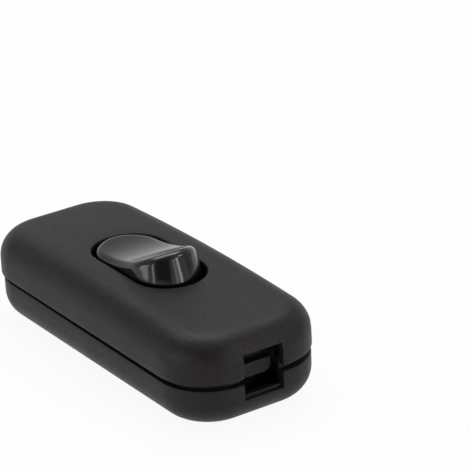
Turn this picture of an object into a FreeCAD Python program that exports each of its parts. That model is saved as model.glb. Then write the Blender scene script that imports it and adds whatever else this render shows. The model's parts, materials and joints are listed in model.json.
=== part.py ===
import FreeCAD, Part
import math
import os
import Sketcher

# Inline cord switch. A two-part moulded housing holds a dished rocker, which works a sprung
# plunger and a see-saw contact. X runs along the cord, Z is up, and the origin is the centre
# of the underside. At rest the rocker's -X end is pressed down and its +X end stands up.

vector = FreeCAD.Vector
doc = FreeCAD.newDocument("inline_cord_switch")
sheet = doc.addObject("Spreadsheet::Sheet", "sizes")


class Size:
    """A number with the sheet formula that gives it, so that sums of sizes stay bound."""

    def __init__(self, number, formula):
        self.number = number
        self.formula = formula

    def __add__(self, other):
        other = as_size(other)
        return Size(self.number + other.number, f"({self.formula} + {other.formula})")

    def __sub__(self, other):
        other = as_size(other)
        return Size(self.number - other.number, f"({self.formula} - {other.formula})")

    def __mul__(self, other):
        other = as_size(other)
        return Size(self.number * other.number, f"({self.formula} * {other.formula})")

    def __truediv__(self, other):
        other = as_size(other)
        return Size(self.number / other.number, f"({self.formula} / {other.formula})")

    def __neg__(self):
        return Size(-self.number, f"(-1 * {self.formula})")

    __radd__ = __add__
    __rmul__ = __mul__


def as_size(amount):
    if isinstance(amount, Size):
        return amount
    return Size(float(amount), f"({amount})")


def sine(angle):
    return Size(math.sin(math.radians(angle.number)), f"sin({angle.formula} * 1 deg)")


def cosine(angle):
    return Size(math.cos(math.radians(angle.number)), f"cos({angle.formula} * 1 deg)")


def size(alias, number):
    row = len(rows) + 1
    rows.append(alias)
    sheet.set(f"A{row}", alias)
    sheet.set(f"B{row}", str(number))
    sheet.setAlias(f"B{row}", alias)
    return Size(float(number), f"sizes.{alias}")


rows = []

# Housing, outside
body_length = size("body_length", 60.0)
body_width = size("body_width", 25.3)
corner_radius = size("corner_radius", 8.5)
crown_height = size("crown_height", 15.0)
crown_radius = size("crown_radius", 430.0)
top_round = size("top_round", 4.4)
bottom_round = size("bottom_round", 4.4)
wall = size("wall", 1.8)
floor_height = size("floor_height", 1.8)
upper_rim = size("upper_rim", 7.5)
far_gap = size("far_gap", 0.55)
near_gap = size("near_gap", 0.95)
lower_inset = size("lower_inset", 0.27)
lower_shift = size("lower_shift", 0.2)
rim_ledge = size("rim_ledge", 1.0)
tongue_thickness = size("tongue_thickness", 0.8)
tongue_rise = size("tongue_rise", 1.2)
joint_clearance = size("joint_clearance", 0.1)
floor_corner_round = size("floor_corner_round", 1.2)

# Cord entries
entry_width = size("entry_width", 6.8)
entry_top = size("entry_top", 11.1)
entry_sill = size("entry_sill", 3.95)
entry_ledge = size("entry_ledge", 4.4)
sill_depth = size("sill_depth", 1.2)
cord_axis = size("cord_axis", 7.4)
cord_groove_radius = size("cord_groove_radius", 3.1)
pry_groove_radius = size("pry_groove_radius", 1.2)
pry_groove_depth = size("pry_groove_depth", 0.35)
pry_groove_bottom = size("pry_groove_bottom", 8.7)
pry_groove_rise = size("pry_groove_rise", 2.9)
pry_groove_turn = size("pry_groove_turn", 58.0)

# Rocker, measured from its pivot
pivot_height = size("pivot_height", 11.6)
rocker_tilt = size("rocker_tilt", 11.9)
aperture_length = size("aperture_length", 22.66)
aperture_width = size("aperture_width", 11.72)
aperture_round = size("aperture_round", 0.25)
rocker_length = size("rocker_length", 20.64)
rocker_width = size("rocker_width", 11.36)
rocker_taper = size("rocker_taper", 9.0)
taper_start = size("taper_start", 1.8)
rocker_top = size("rocker_top", 7.4)
dish_radius = size("dish_radius", 29.5)
dish_bottom = size("dish_bottom", 4.4)
rocker_round = size("rocker_round", 1.1)
skirt_drop = size("skirt_drop", 0.8)
rocker_wall = size("rocker_wall", 1.5)
crown_thickness = size("crown_thickness", 2.0)
trunnion_radius = size("trunnion_radius", 1.1)
trunnion_reach = size("trunnion_reach", 7.4)
running_clearance = size("running_clearance", 0.05)
cheek_inner = size("cheek_inner", 6.0)
cheek_thickness = size("cheek_thickness", 1.6)
cheek_length = size("cheek_length", 5.2)
cheek_bottom = size("cheek_bottom", 9.4)
rib_thickness = size("rib_thickness", 0.9)

# Plunger and spring, in the rocker's leg
leg_radius = size("leg_radius", 2.4)
leg_drop = size("leg_drop", 3.4)
plunger_radius = size("plunger_radius", 1.3)
plunger_drop = size("plunger_drop", 5.3)
plunger_shoulder = size("plunger_shoulder", 1.4)
spigot_radius = size("spigot_radius", 0.7)
spigot_rise = size("spigot_rise", 1.0)
bore_end = size("bore_end", 2.3)
spring_radius = size("spring_radius", 0.95)
spring_wire = size("spring_wire", 0.3)
spring_turns = size("spring_turns", 4)

# See-saw contact and the strips beneath it
pin_height = size("pin_height", 4.6)
pin_radius = size("pin_radius", 0.6)
pin_length = size("pin_length", 6.8)
seesaw_tilt = size("seesaw_tilt", 5.95)
seesaw_length = size("seesaw_length", 16.8)
seesaw_width = size("seesaw_width", 4.8)
seesaw_underside = size("seesaw_underside", 0.8)
strip_thickness = size("strip_thickness", 0.8)
ear_thickness = size("ear_thickness", 0.6)
ear_length = size("ear_length", 2.6)
ear_drop = size("ear_drop", 1.1)
fork_gap = size("fork_gap", 0.2)
fork_length = size("fork_length", 3.6)
fork_top = size("fork_top", 5.8)
strip_width = size("strip_width", 4.4)
strip_height = size("strip_height", 2.2)
tip_reach = size("tip_reach", 7.0)
moving_tip_radius = size("moving_tip_radius", 1.2)
fixed_tip_radius = size("fixed_tip_radius", 1.0)
tip_round = size("tip_round", 0.4)
tip_shank_radius = size("tip_shank_radius", 0.6)
closed_gap = size("closed_gap", 0.1)
stop_reach = size("stop_reach", 6.8)
stop_width = size("stop_width", 2.4)

# Terminals
terminal_size = size("terminal_size", 5.2)
terminal_height = size("terminal_height", 5.4)
wire_bore_radius = size("wire_bore_radius", 1.4)
wire_bore_height = size("wire_bore_height", 1.9)
through_length = size("through_length", 12.0)
through_width = size("through_width", 4.2)
through_height = size("through_height", 4.8)
through_place = size("through_place", 8.1)
through_seat = size("through_seat", 2.6)
through_screw_place = size("through_screw_place", 3.6)
terminal_screw_radius = size("terminal_screw_radius", 1.5)
terminal_head_radius = size("terminal_head_radius", 2.1)
terminal_head_height = size("terminal_head_height", 1.3)
terminal_screw_length = size("terminal_screw_length", 2.8)
barrier_place = size("barrier_place", 5.4)
barrier_length = size("barrier_length", 21.0)
barrier_top = size("barrier_top", 6.8)
pocket_wall_top = size("pocket_wall_top", 6.0)

# Cord clamps
clamp_seat = size("clamp_seat", 8.0)
clamp_width = size("clamp_width", 4.2)
clamp_wing = size("clamp_wing", 2.0)
clamp_hump_width = size("clamp_hump_width", 8.0)
clamp_hump_top = size("clamp_hump_top", 11.8)
clamp_boss_radius = size("clamp_boss_radius", 2.2)
clamp_screw_radius = size("clamp_screw_radius", 1.25)
clamp_head_radius = size("clamp_head_radius", 2.1)
clamp_head_height = size("clamp_head_height", 1.4)
clamp_screw_length = size("clamp_screw_length", 6.0)
saddle_spacing = size("saddle_spacing", 2.2)
saddle_top = size("saddle_top", 5.6)

# Housing screws
screw_place_y = size("screw_place_y", 6.4)
screw_radius = size("screw_radius", 1.3)
screw_head_radius = size("screw_head_radius", 2.5)
screw_head_height = size("screw_head_height", 1.8)
screw_seat = size("screw_seat", 3.2)
screw_length = size("screw_length", 8.2)
screw_clearance = size("screw_clearance", 0.15)
pilot_clearance = size("pilot_clearance", 0.03)
boss_joint = size("boss_joint", 7.0)
lower_boss_radius = size("lower_boss_radius", 3.4)
upper_boss_radius = size("upper_boss_radius", 2.6)
drive_length = size("drive_length", 2.6)
drive_width = size("drive_width", 0.6)
drive_depth = size("drive_depth", 0.8)

overlap = size("overlap", 0.4)
doc.recompute()

# Sizes that follow from those above
tongue_inset = lower_inset + rim_ledge
cavity_inset = tongue_inset + tongue_thickness
tongue_top = upper_rim + tongue_rise
ceiling = crown_height - wall + overlap
platform_top = strip_height
strip_top = strip_height + strip_thickness
bore_radius = plunger_radius + running_clearance
terminal_place = body_length * 0.24
screw_place_x = body_length * 0.29
clamp_place = body_length * 0.39
clamp_screw_place = clamp_hump_width / 2 + clamp_head_radius + joint_clearance * 2
clamp_length = (clamp_screw_place + clamp_head_radius) * 2
strip_end = terminal_place + terminal_size / 2
fork_inner = seesaw_width / 2 + fork_gap


def bind(thing, name, amount):
    thing.setExpression(name, as_size(amount).formula)


def start_body(label, x=0, y=0, z=0, axis=(0, 1, 0), turn=None):
    made = doc.addObject("PartDesign::Body", label)
    made.Label = label
    if turn is not None:
        rotation = FreeCAD.Rotation(vector(*axis), turn.number)
        made.Placement = FreeCAD.Placement(vector(0, 0, 0), rotation)
        made.setExpression("Placement.Rotation.Angle", f"{turn.formula} * 1 deg")
    bind(made, "Placement.Base.x", x)
    bind(made, "Placement.Base.y", y)
    bind(made, "Placement.Base.z", z)
    bodies.append(made)
    return made


bodies = []


def sketch(owner, name, role, x=0, y=0, z=0):
    """A sketch on one of the body's own planes; x, y and z are in the plane's own axes."""
    made = owner.newObject("Sketcher::SketchObject", name)
    plane = [feature for feature in owner.Origin.OriginFeatures if feature.Role == role]
    made.AttachmentSupport = [(plane[0], "")]
    made.MapMode = "FlatFace"
    bind(made, "AttachmentOffset.Base.x", x)
    bind(made, "AttachmentOffset.Base.y", y)
    bind(made, "AttachmentOffset.Base.z", z)
    return made


def dimension(drawing, kind, first, amount):
    amount = as_size(amount)
    index = drawing.addConstraint(Sketcher.Constraint(kind, *first, amount.number))
    drawing.setExpression(f"Constraints[{index}]", amount.formula)


def circle(drawing, radius, x=0, y=0):
    radius, x, y = as_size(radius), as_size(x), as_size(y)
    ring = Part.Circle(vector(x.number, y.number, 0), vector(0, 0, 1), radius.number)
    index = drawing.addGeometry(ring, False)
    dimension(drawing, "DistanceX", (-1, 1, index, 3), x)
    dimension(drawing, "DistanceY", (-1, 1, index, 3), y)
    dimension(drawing, "Radius", (index,), radius)


def polygon(drawing, corners):
    corners = [(as_size(x), as_size(y)) for x, y in corners]
    first = len(drawing.Geometry)
    count = len(corners)
    for index in range(count):
        start = vector(corners[index][0].number, corners[index][1].number, 0)
        after = corners[(index + 1) % count]
        drawing.addGeometry(Part.LineSegment(start, vector(after[0].number, after[1].number, 0)), False)
    for index in range(count):
        following = first + (index + 1) % count
        drawing.addConstraint(Sketcher.Constraint("Coincident", first + index, 2, following, 1))
        dimension(drawing, "DistanceX", (-1, 1, first + index, 1), corners[index][0])
        dimension(drawing, "DistanceY", (-1, 1, first + index, 1), corners[index][1])


def rectangle(drawing, width, height, x=0, y=0):
    left, right = as_size(x) - as_size(width) / 2, as_size(x) + as_size(width) / 2
    low, high = as_size(y) - as_size(height) / 2, as_size(y) + as_size(height) / 2
    polygon(drawing, [(left, low), (right, low), (right, high), (left, high)])


def rounded_rectangle(drawing, length, width, radius):
    """Four sides and four corner arcs, centred on the sketch's origin."""
    half_x, half_y, bend = length.number / 2, width.number / 2, radius.number
    inner_x, inner_y = half_x - bend, half_y - bend
    sides = [(-inner_x, -half_y, inner_x, -half_y), (half_x, -inner_y, half_x, inner_y),
             (inner_x, half_y, -inner_x, half_y), (-half_x, inner_y, -half_x, -inner_y)]
    for x1, y1, x2, y2 in sides:
        drawing.addGeometry(Part.LineSegment(vector(x1, y1, 0), vector(x2, y2, 0)), False)
    corners = [(inner_x, -inner_y), (inner_x, inner_y), (-inner_x, inner_y), (-inner_x, -inner_y)]
    for index, (x, y) in enumerate(corners):
        start = math.pi / 2 * (index - 1)
        bow = Part.Circle(vector(x, y, 0), vector(0, 0, 1), bend)
        drawing.addGeometry(Part.ArcOfCircle(bow, start, start + math.pi / 2), False)
    side_count = len(sides)
    for index in range(side_count):
        arc, following = side_count + index, (index + 1) % side_count
        drawing.addConstraint(Sketcher.Constraint("Tangent", index, 2, arc, 1))
        drawing.addConstraint(Sketcher.Constraint("Tangent", arc, 2, following, 1))
        drawing.addConstraint(Sketcher.Constraint("Vertical" if index % 2 else "Horizontal", index))
    for index in range(1, side_count):
        drawing.addConstraint(Sketcher.Constraint("Equal", side_count, side_count + index))
    drawing.addConstraint(Sketcher.Constraint("Symmetric", 4, 3, 6, 3, -1, 1))
    dimension(drawing, "Radius", (side_count,), radius)
    dimension(drawing, "DistanceX", (3, 1, 1, 1), length)
    dimension(drawing, "DistanceY", (0, 1, 2, 1), width)


def stadium(drawing, length, width):
    """Two straight sides joined by half circles, centred on the sketch's origin."""
    bend = width / 2
    reach = length / 2 - bend
    low, high = vector(-reach.number, -bend.number, 0), vector(reach.number, bend.number, 0)
    drawing.addGeometry(Part.LineSegment(low, vector(high.x, low.y, 0)), False)
    drawing.addGeometry(Part.LineSegment(high, vector(low.x, high.y, 0)), False)
    for x, start in ((reach.number, -math.pi / 2), (-reach.number, math.pi / 2)):
        bow = Part.Circle(vector(x, 0, 0), vector(0, 0, 1), bend.number)
        drawing.addGeometry(Part.ArcOfCircle(bow, start, start + math.pi), False)
    for line, arc, other in ((0, 2, 1), (1, 3, 0)):
        drawing.addConstraint(Sketcher.Constraint("Tangent", line, 2, arc, 1))
        drawing.addConstraint(Sketcher.Constraint("Tangent", arc, 2, other, 1))
        drawing.addConstraint(Sketcher.Constraint("Horizontal", line))
    drawing.addConstraint(Sketcher.Constraint("Symmetric", 2, 3, 3, 3, -1, 1))
    dimension(drawing, "Radius", (2,), bend)
    dimension(drawing, "DistanceX", (3, 3, 2, 3), reach * 2)


def crown_cutter(drawing, top, radius, span, rise):
    """The region above a shallow arc whose highest point is on the sketch's Y axis."""
    half = span / 2
    centre = top - radius
    edge = math.sqrt(radius.number ** 2 - half.number ** 2)
    start = math.atan2(edge, half.number)
    bow = Part.Circle(vector(0, centre.number, 0), vector(0, 0, 1), radius.number)
    drawing.addGeometry(Part.ArcOfCircle(bow, start, math.pi - start), False)
    left, right = -half.number, half.number
    low, high = centre.number + edge, centre.number + edge + rise.number
    for x1, y1, x2, y2 in ((left, low, left, high), (left, high, right, high), (right, high, right, low)):
        drawing.addGeometry(Part.LineSegment(vector(x1, y1, 0), vector(x2, y2, 0)), False)
    for index in range(4):
        after = (index + 1) % 4
        drawing.addConstraint(Sketcher.Constraint("Coincident", index, 2, after, 1))
    drawing.addConstraint(Sketcher.Constraint("Vertical", 1))
    drawing.addConstraint(Sketcher.Constraint("Vertical", 3))
    drawing.addConstraint(Sketcher.Constraint("Horizontal", 2))
    drawing.addConstraint(Sketcher.Constraint("PointOnObject", 0, 3, -2))
    dimension(drawing, "Radius", (0,), radius)
    dimension(drawing, "DistanceY", (-1, 1, 0, 3), centre)
    dimension(drawing, "DistanceX", (0, 2, 0, 1), span)
    dimension(drawing, "DistanceY", (1, 1, 1, 2), rise)


def grow(owner, drawing, length, both_ways=False, down=False, taper=None):
    """Pads a sketch and checks that the body gained volume."""
    before = owner.Shape.Volume if owner.Tip else 0
    made = owner.newObject("PartDesign::Pad", "pad_" + drawing.Name)
    made.Profile = drawing
    bind(made, "Length", length)
    made.Midplane = both_ways
    made.Reversed = down
    if taper is not None:
        made.setExpression("TaperAngle", f"{taper.formula} * 1 deg")
    doc.recompute()
    assert owner.Shape.Volume > before, drawing.Name + " adds nothing"
    return made


def cut(owner, drawing, length=None, both_ways=False, up=False):
    """Pockets a sketch and checks that the body lost volume; no length means right through."""
    before = owner.Shape.Volume
    made = owner.newObject("PartDesign::Pocket", "cut_" + drawing.Name)
    made.Profile = drawing
    if length is None:
        made.Type = "ThroughAll"
    else:
        bind(made, "Length", length)
    made.Midplane = both_ways
    made.Reversed = up
    doc.recompute()
    assert owner.Shape.Volume < before, drawing.Name + " cuts nothing"
    return made


def edges_of(owner, chosen):
    """Names of the edges of the faces that the test picks, in the body's own frame."""
    shape = owner.Tip.Shape
    picked = [edge for face in shape.Faces if chosen(face) for edge in face.Edges]
    return [f"Edge{index + 1}" for index, edge in enumerate(shape.Edges)
            if any(edge.isSame(other) for other in picked)]


def upright_edges(owner, height):
    """Names of the edges that rise by just this height."""
    return [f"Edge{index + 1}" for index, edge in enumerate(owner.Tip.Shape.Edges)
            if abs(edge.BoundBox.ZLength - height.number) < running_clearance.number]


def round_off(owner, name, edges, radius):
    assert edges, name + " finds no edge"
    base = owner.Tip
    made = owner.newObject("PartDesign::Fillet", name)
    made.Base = (base, edges)
    bind(made, "Radius", radius)
    doc.recompute()
    assert "Invalid" not in made.State, name + " fails"
    return made


def facing(direction, level, slack=0.02):
    """Picks flat faces that look along Z, up (1) or down (-1), at one height in the body."""
    def chosen(face):
        flat = isinstance(face.Surface, Part.Plane)
        return flat and abs(face.CenterOfMass.z - level.number) < slack and \
            abs(face.normalAt(0, 0).z - direction) < slack
    return chosen


def boxes(owner, name, base, top, places):
    """Square-cornered blocks from one height to another; each place is x, y, length, width."""
    drawing = sketch(owner, name, "XY_Plane", 0, 0, base)
    for x, y, length, width in places:
        rectangle(drawing, length, width, x, y)
    grow(owner, drawing, as_size(top) - base)


def posts(owner, name, base, top, radius, places):
    drawing = sketch(owner, name, "XY_Plane", 0, 0, base)
    for x, y in places:
        circle(drawing, radius, x, y)
    grow(owner, drawing, as_size(top) - base)


def holes(owner, name, start, depth, radius, places, up=True):
    drawing = sketch(owner, name, "XY_Plane", 0, 0, start)
    for x, y in places:
        circle(drawing, radius, x, y)
    cut(owner, drawing, depth, up=up)


def both_ends(x, y=0):
    """The same place at the near end and, turned about Z, at the far end."""
    return [(x, y), (-as_size(x), -as_size(y))]


def four_ways(x, y):
    x, y = as_size(x), as_size(y)
    return [(x, y), (x, -y), (-x, y), (-x, -y)]


def screw(label, x, y, seat, head_radius, head_height, radius, length, point_up=False):
    """A pan-head screw whose head seats at the given height; turned profile, crossed drive."""
    sign = 1 if point_up else -1
    made = start_body(label, x, y, seat)
    drawing = sketch(made, label + "_profile", "XZ_Plane")
    bevel = radius * 0.4
    head_bevel = head_height * 0.3
    polygon(drawing, [(0, head_height * -sign), (head_radius - head_bevel, head_height * -sign),
                      (head_radius, (head_height - head_bevel) * -sign), (head_radius, 0),
                      (radius, 0), (radius, (length - bevel) * sign),
                      (radius - bevel, length * sign), (0, length * sign)])
    turned = made.newObject("PartDesign::Revolution", label + "_turned")
    turned.Profile = drawing
    turned.ReferenceAxis = (drawing, ["V_Axis"])
    turned.Angle = 360
    doc.recompute()
    for name, across, along in (("_a", drive_length, drive_width), ("_b", drive_width, drive_length)):
        slot = sketch(made, label + "_slot" + name, "XY_Plane", 0, 0, head_height * -sign)
        rectangle(slot, across, along)
        cut(made, slot, drive_depth, up=point_up)
    return made


def make_upper_shell():
    shell = start_body("upper_shell")
    outline = sketch(shell, "upper_outline", "XY_Plane", 0, 0, upper_rim)
    rounded_rectangle(outline, body_length, body_width, corner_radius)
    grow(shell, outline, crown_height - upper_rim)
    crown = sketch(shell, "upper_crown", "XZ_Plane")
    crown_cutter(crown, crown_height, crown_radius, body_length + wall * 2, wall * 2)
    cut(shell, crown, both_ways=True)
    highest = max(face.CenterOfMass.z for face in shell.Tip.Shape.Faces)
    top_edges = edges_of(shell, lambda face: face.CenterOfMass.z == highest)
    round_off(shell, "upper_top_round", top_edges, top_round)
    base = shell.Tip
    faces = base.Shape.Faces
    rim_face = min(range(len(faces)), key=lambda index: faces[index].CenterOfMass.z)
    hollow = shell.newObject("PartDesign::Thickness", "upper_hollow")
    hollow.Base = (base, [f"Face{rim_face + 1}"])
    bind(hollow, "Value", wall)
    hollow.Reversed = True
    hollow.Join = "Intersection"
    doc.recompute()
    rebate = sketch(shell, "upper_rebate", "XY_Plane", 0, 0, upper_rim)
    inset = tongue_inset - joint_clearance
    rounded_rectangle(rebate, body_length - inset * 2, body_width - inset * 2, corner_radius - inset)
    cut(shell, rebate, tongue_rise + joint_clearance * 2, up=True)
    aperture = sketch(shell, "upper_aperture", "XY_Plane", 0, 0, pivot_height)
    stadium(aperture, aperture_length, aperture_width)
    cut(shell, aperture, crown_height, up=True)
    entry = sketch(shell, "upper_entry", "YZ_Plane")
    rectangle(entry, entry_width, entry_top, 0, entry_top / 2)
    cut(shell, entry, both_ways=True)
    reach = corner_radius + pry_groove_radius - pry_groove_depth
    groove_x = body_length / 2 - corner_radius + reach * cosine(pry_groove_turn)
    groove_y = body_width / 2 - corner_radius + reach * sine(pry_groove_turn)
    holes(shell, "upper_pry_groove", pry_groove_bottom, pry_groove_rise, pry_groove_radius,
          [(groove_x, groove_y)])
    # Cheeks with open-bottomed bearings for the rocker's trunnions
    cheek_y = cheek_inner + cheek_thickness / 2
    boxes(shell, "upper_cheeks", cheek_bottom, ceiling,
          [(0, cheek_y * side, cheek_length, cheek_thickness) for side in (1, -1)])
    bearing = sketch(shell, "upper_bearing", "XZ_Plane")
    circle(bearing, trunnion_radius + running_clearance, 0, pivot_height)
    reach = cheek_inner + cheek_thickness + overlap
    cut(shell, bearing, reach * 2, both_ways=True)
    mouth = sketch(shell, "upper_bearing_mouth", "XZ_Plane")
    rise = pivot_height - cheek_bottom + overlap
    rectangle(mouth, (trunnion_radius + running_clearance) * 2, rise, 0, pivot_height - rise / 2)
    cut(shell, mouth, reach * 2, both_ways=True)
    bosses = both_ends(screw_place_x, screw_place_y)
    posts(shell, "upper_bosses", boss_joint, ceiling - overlap / 2, upper_boss_radius, bosses)
    holes(shell, "upper_pilots", boss_joint, screw_seat + screw_length - boss_joint + overlap,
          screw_radius + pilot_clearance, bosses)
    return shell


def make_lower_shell():
    shell = start_body("lower_shell")
    outline = sketch(shell, "lower_outline", "XY_Plane", lower_shift)
    rounded_rectangle(outline, body_length - lower_inset * 2, body_width - lower_inset * 2,
                      corner_radius - lower_inset)
    grow(shell, outline, upper_rim - far_gap)
    rim = sketch(shell, "lower_rim", "XZ_Plane")
    half = body_length / 2
    polygon(rim, [(-half, upper_rim - far_gap), (half, upper_rim - near_gap), (half, upper_rim),
                  (-half, upper_rim)])
    cut(shell, rim, both_ways=True)
    round_off(shell, "lower_bottom_round", edges_of(shell, facing(-1, as_size(0))), bottom_round)
    tongue = sketch(shell, "lower_tongue", "XY_Plane", 0, 0, floor_height)
    rounded_rectangle(tongue, body_length - tongue_inset * 2, body_width - tongue_inset * 2,
                      corner_radius - tongue_inset)
    grow(shell, tongue, tongue_top - floor_height)
    cavity = sketch(shell, "lower_cavity", "XY_Plane", 0, 0, tongue_top)
    rounded_rectangle(cavity, body_length - cavity_inset * 2, body_width - cavity_inset * 2,
                      corner_radius - cavity_inset)
    cut(shell, cavity, tongue_top - floor_height)
    round_off(shell, "lower_floor_round", edges_of(shell, facing(1, floor_height)), floor_corner_round)
    entry = sketch(shell, "lower_entry", "YZ_Plane")
    rectangle(entry, entry_width, tongue_top, 0, entry_ledge + tongue_top / 2)
    cut(shell, entry, both_ways=True)
    sill = sketch(shell, "lower_sills", "XY_Plane", 0, 0, entry_ledge + overlap)
    for x, y in both_ends(half):
        rectangle(sill, sill_depth * 2, entry_width, x, y)
    cut(shell, sill, entry_ledge + overlap - entry_sill)
    deep = floor_height - overlap
    # Cord saddles and the bosses of the clamp screws
    saddle_width = cord_groove_radius * 2 + rib_thickness
    saddles = [(clamp_place * end + saddle_spacing / 2 * step, 0, rib_thickness, saddle_width)
               for end in (1, -1) for step in (1, -1)]
    boxes(shell, "cord_saddles", deep, saddle_top, saddles)
    for end, name in ((1, "near"), (-1, "far")):
        groove = sketch(shell, f"saddle_groove_{name}", "YZ_Plane", 0, 0, clamp_place * end)
        circle(groove, cord_groove_radius, 0, cord_axis)
        cut(shell, groove, clamp_width, both_ways=True)
    clamp_bosses = four_ways(clamp_place, clamp_screw_place)
    posts(shell, "clamp_bosses", deep, clamp_seat, clamp_boss_radius, clamp_bosses)
    holes(shell, "clamp_pilots", clamp_seat, clamp_screw_length - clamp_wing + overlap,
          clamp_screw_radius + pilot_clearance, clamp_bosses, up=False)
    # Housing screw bosses, counterbored from the underside
    bosses = both_ends(screw_place_x, screw_place_y)
    posts(shell, "lower_bosses", deep, boss_joint, lower_boss_radius, bosses)
    holes(shell, "lower_ways", 0, boss_joint, screw_radius + screw_clearance, bosses)
    holes(shell, "lower_counterbores", 0, screw_seat, screw_head_radius + screw_clearance * 2, bosses)
    # Pads and walls that place the contact strips and the terminal blocks
    switched_inner = tip_reach - fixed_tip_radius
    boxes(shell, "strip_pads", deep, platform_top,
          [((strip_end - fork_length / 2) / 2, 0, strip_end + fork_length / 2, strip_width),
           (-(strip_end + switched_inner) / 2, 0, strip_end - switched_inner, strip_width)])
    wall_y = terminal_size / 2 + joint_clearance * 2 + rib_thickness / 2
    wall_length = terminal_size + rib_thickness
    boxes(shell, "terminal_walls", deep, pocket_wall_top,
          [(x, y, wall_length, rib_thickness) for x, y in four_ways(terminal_place, wall_y)])
    boxes(shell, "barriers", deep, barrier_top,
          [(0, barrier_place * side, barrier_length, rib_thickness) for side in (1, -1)])
    boxes(shell, "through_seat_pad", deep, through_seat,
          [(0, -through_place, through_length * 0.8, through_width * 0.7)])
    stop_x = through_length / 2 + joint_clearance + rib_thickness / 2
    boxes(shell, "through_stops", deep, through_seat + wire_bore_height - wire_bore_radius,
          [(stop_x * end, -through_place, rib_thickness, through_width) for end in (1, -1)])
    return shell


def make_rocker():
    rocker = start_body("rocker", 0, 0, pivot_height, (0, -1, 0), rocker_tilt)
    head = sketch(rocker, "rocker_head", "XY_Plane", 0, 0, taper_start)
    stadium(head, rocker_length, rocker_width)
    grow(rocker, head, rocker_top - taper_start, taper=-rocker_taper)
    skirt = sketch(rocker, "rocker_skirt", "XY_Plane", 0, 0, taper_start)
    stadium(skirt, rocker_length, rocker_width)
    grow(rocker, skirt, taper_start + skirt_drop, down=True)
    dish = sketch(rocker, "rocker_dish", "XZ_Plane")
    circle(dish, dish_radius, 0, dish_bottom + dish_radius)
    cut(rocker, dish, both_ways=True)
    dished = [face for face in rocker.Tip.Shape.Faces if isinstance(face.Surface, Part.Cylinder)
              and abs(face.Surface.Radius - dish_radius.number) < running_clearance.number]
    edges = edges_of(rocker, lambda face: any(face.isSame(other) for other in dished))
    round_off(rocker, "rocker_top_round", edges, rocker_round)
    inside = sketch(rocker, "rocker_inside", "XY_Plane", 0, 0, -skirt_drop)
    stadium(inside, rocker_length - rocker_wall * 2, rocker_width - rocker_wall * 2)
    underside = dish_bottom - crown_thickness
    cut(rocker, inside, underside + skirt_drop, up=True)
    reach = overlap + underside
    for name, length, width in (("long", rocker_length - rocker_wall, rib_thickness),
                                ("cross", rib_thickness, rocker_width - rocker_wall)):
        rib = sketch(rocker, f"rocker_{name}_rib", "XY_Plane")
        rectangle(rib, length, width)
        grow(rocker, rib, reach)
    leg = sketch(rocker, "rocker_leg", "XY_Plane", 0, 0, -leg_drop)
    circle(leg, leg_radius)
    grow(rocker, leg, leg_drop + reach)
    holes(rocker, "rocker_bore", -leg_drop, leg_drop + bore_end, bore_radius, [(0, 0)])
    inner = rocker_width / 2 - rocker_wall
    for name, start in (("right", inner), ("left", -trunnion_reach)):
        stub = sketch(rocker, f"rocker_trunnion_{name}", "XZ_Plane", 0, 0, start)
        circle(stub, trunnion_radius)
        grow(rocker, stub, trunnion_reach - inner)
    return rocker


def make_plunger():
    plunger = start_body("plunger", 0, 0, pivot_height, (0, -1, 0), rocker_tilt)
    drawing = sketch(plunger, "plunger_profile", "XZ_Plane")
    spigot_top = spigot_rise - plunger_shoulder
    polygon(drawing, [(0, -plunger_drop), (plunger_radius, -plunger_drop),
                      (plunger_radius, -plunger_shoulder), (spigot_radius, -plunger_shoulder),
                      (spigot_radius, spigot_top), (0, spigot_top)])
    turned = plunger.newObject("PartDesign::Revolution", "plunger_turned")
    turned.Profile = drawing
    turned.ReferenceAxis = (drawing, ["V_Axis"])
    turned.Angle = 360
    doc.recompute()
    round_off(plunger, "plunger_nose", edges_of(plunger, facing(-1, -plunger_drop)), plunger_radius * 0.96)
    return plunger


def make_spring():
    spring = start_body("plunger_spring", 0, 0, pivot_height, (0, -1, 0), rocker_tilt)
    drawing = sketch(spring, "spring_section", "XZ_Plane")
    low = running_clearance + spring_wire / 2 - plunger_shoulder
    high = bore_end - spring_wire / 2 - running_clearance
    circle(drawing, spring_wire / 2, spring_radius, low)
    coil = spring.newObject("PartDesign::AdditiveHelix", "spring_coil")
    coil.Profile = drawing
    coil.ReferenceAxis = (drawing, ["V_Axis"])
    coil.Mode = "height-turns-angle"
    bind(coil, "Height", high - low)
    bind(coil, "Turns", spring_turns)
    doc.recompute()
    return spring


def make_seesaw():
    """The moving contact: a stamped plate with two ears that hang over the pivot pin."""
    plate = start_body("moving_contact", 0, 0, pin_height, (0, 1, 0), seesaw_tilt)
    flat = sketch(plate, "seesaw_flat", "XY_Plane", 0, 0, seesaw_underside)
    rectangle(flat, seesaw_length, seesaw_width)
    grow(plate, flat, strip_thickness)
    round_off(plate, "seesaw_corners", upright_edges(plate, strip_thickness), seesaw_width * 0.3)
    ear_y = seesaw_width / 2 - ear_thickness / 2
    boxes(plate, "seesaw_ears", -ear_drop, seesaw_underside + strip_thickness / 2,
          [(0, ear_y * side, ear_length, ear_thickness) for side in (1, -1)])
    eye = sketch(plate, "seesaw_eye", "XZ_Plane")
    circle(eye, pin_radius + running_clearance)
    cut(plate, eye, both_ways=True)
    holes(plate, "seesaw_rivet_hole", 0, seesaw_underside + strip_thickness + overlap, tip_shank_radius,
          [(-tip_reach, 0)])
    return plate


def make_moving_tip():
    tip = start_body("moving_contact_tip", 0, 0, pin_height, (0, 1, 0), seesaw_tilt)
    posts(tip, "moving_tip_head", 0, seesaw_underside, moving_tip_radius, [(-tip_reach, 0)])
    round_off(tip, "moving_tip_round", edges_of(tip, facing(-1, as_size(0))), tip_round)
    posts(tip, "moving_tip_shank", seesaw_underside - overlap, seesaw_underside + strip_thickness,
          tip_shank_radius, [(-tip_reach, 0)])
    return tip


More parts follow.
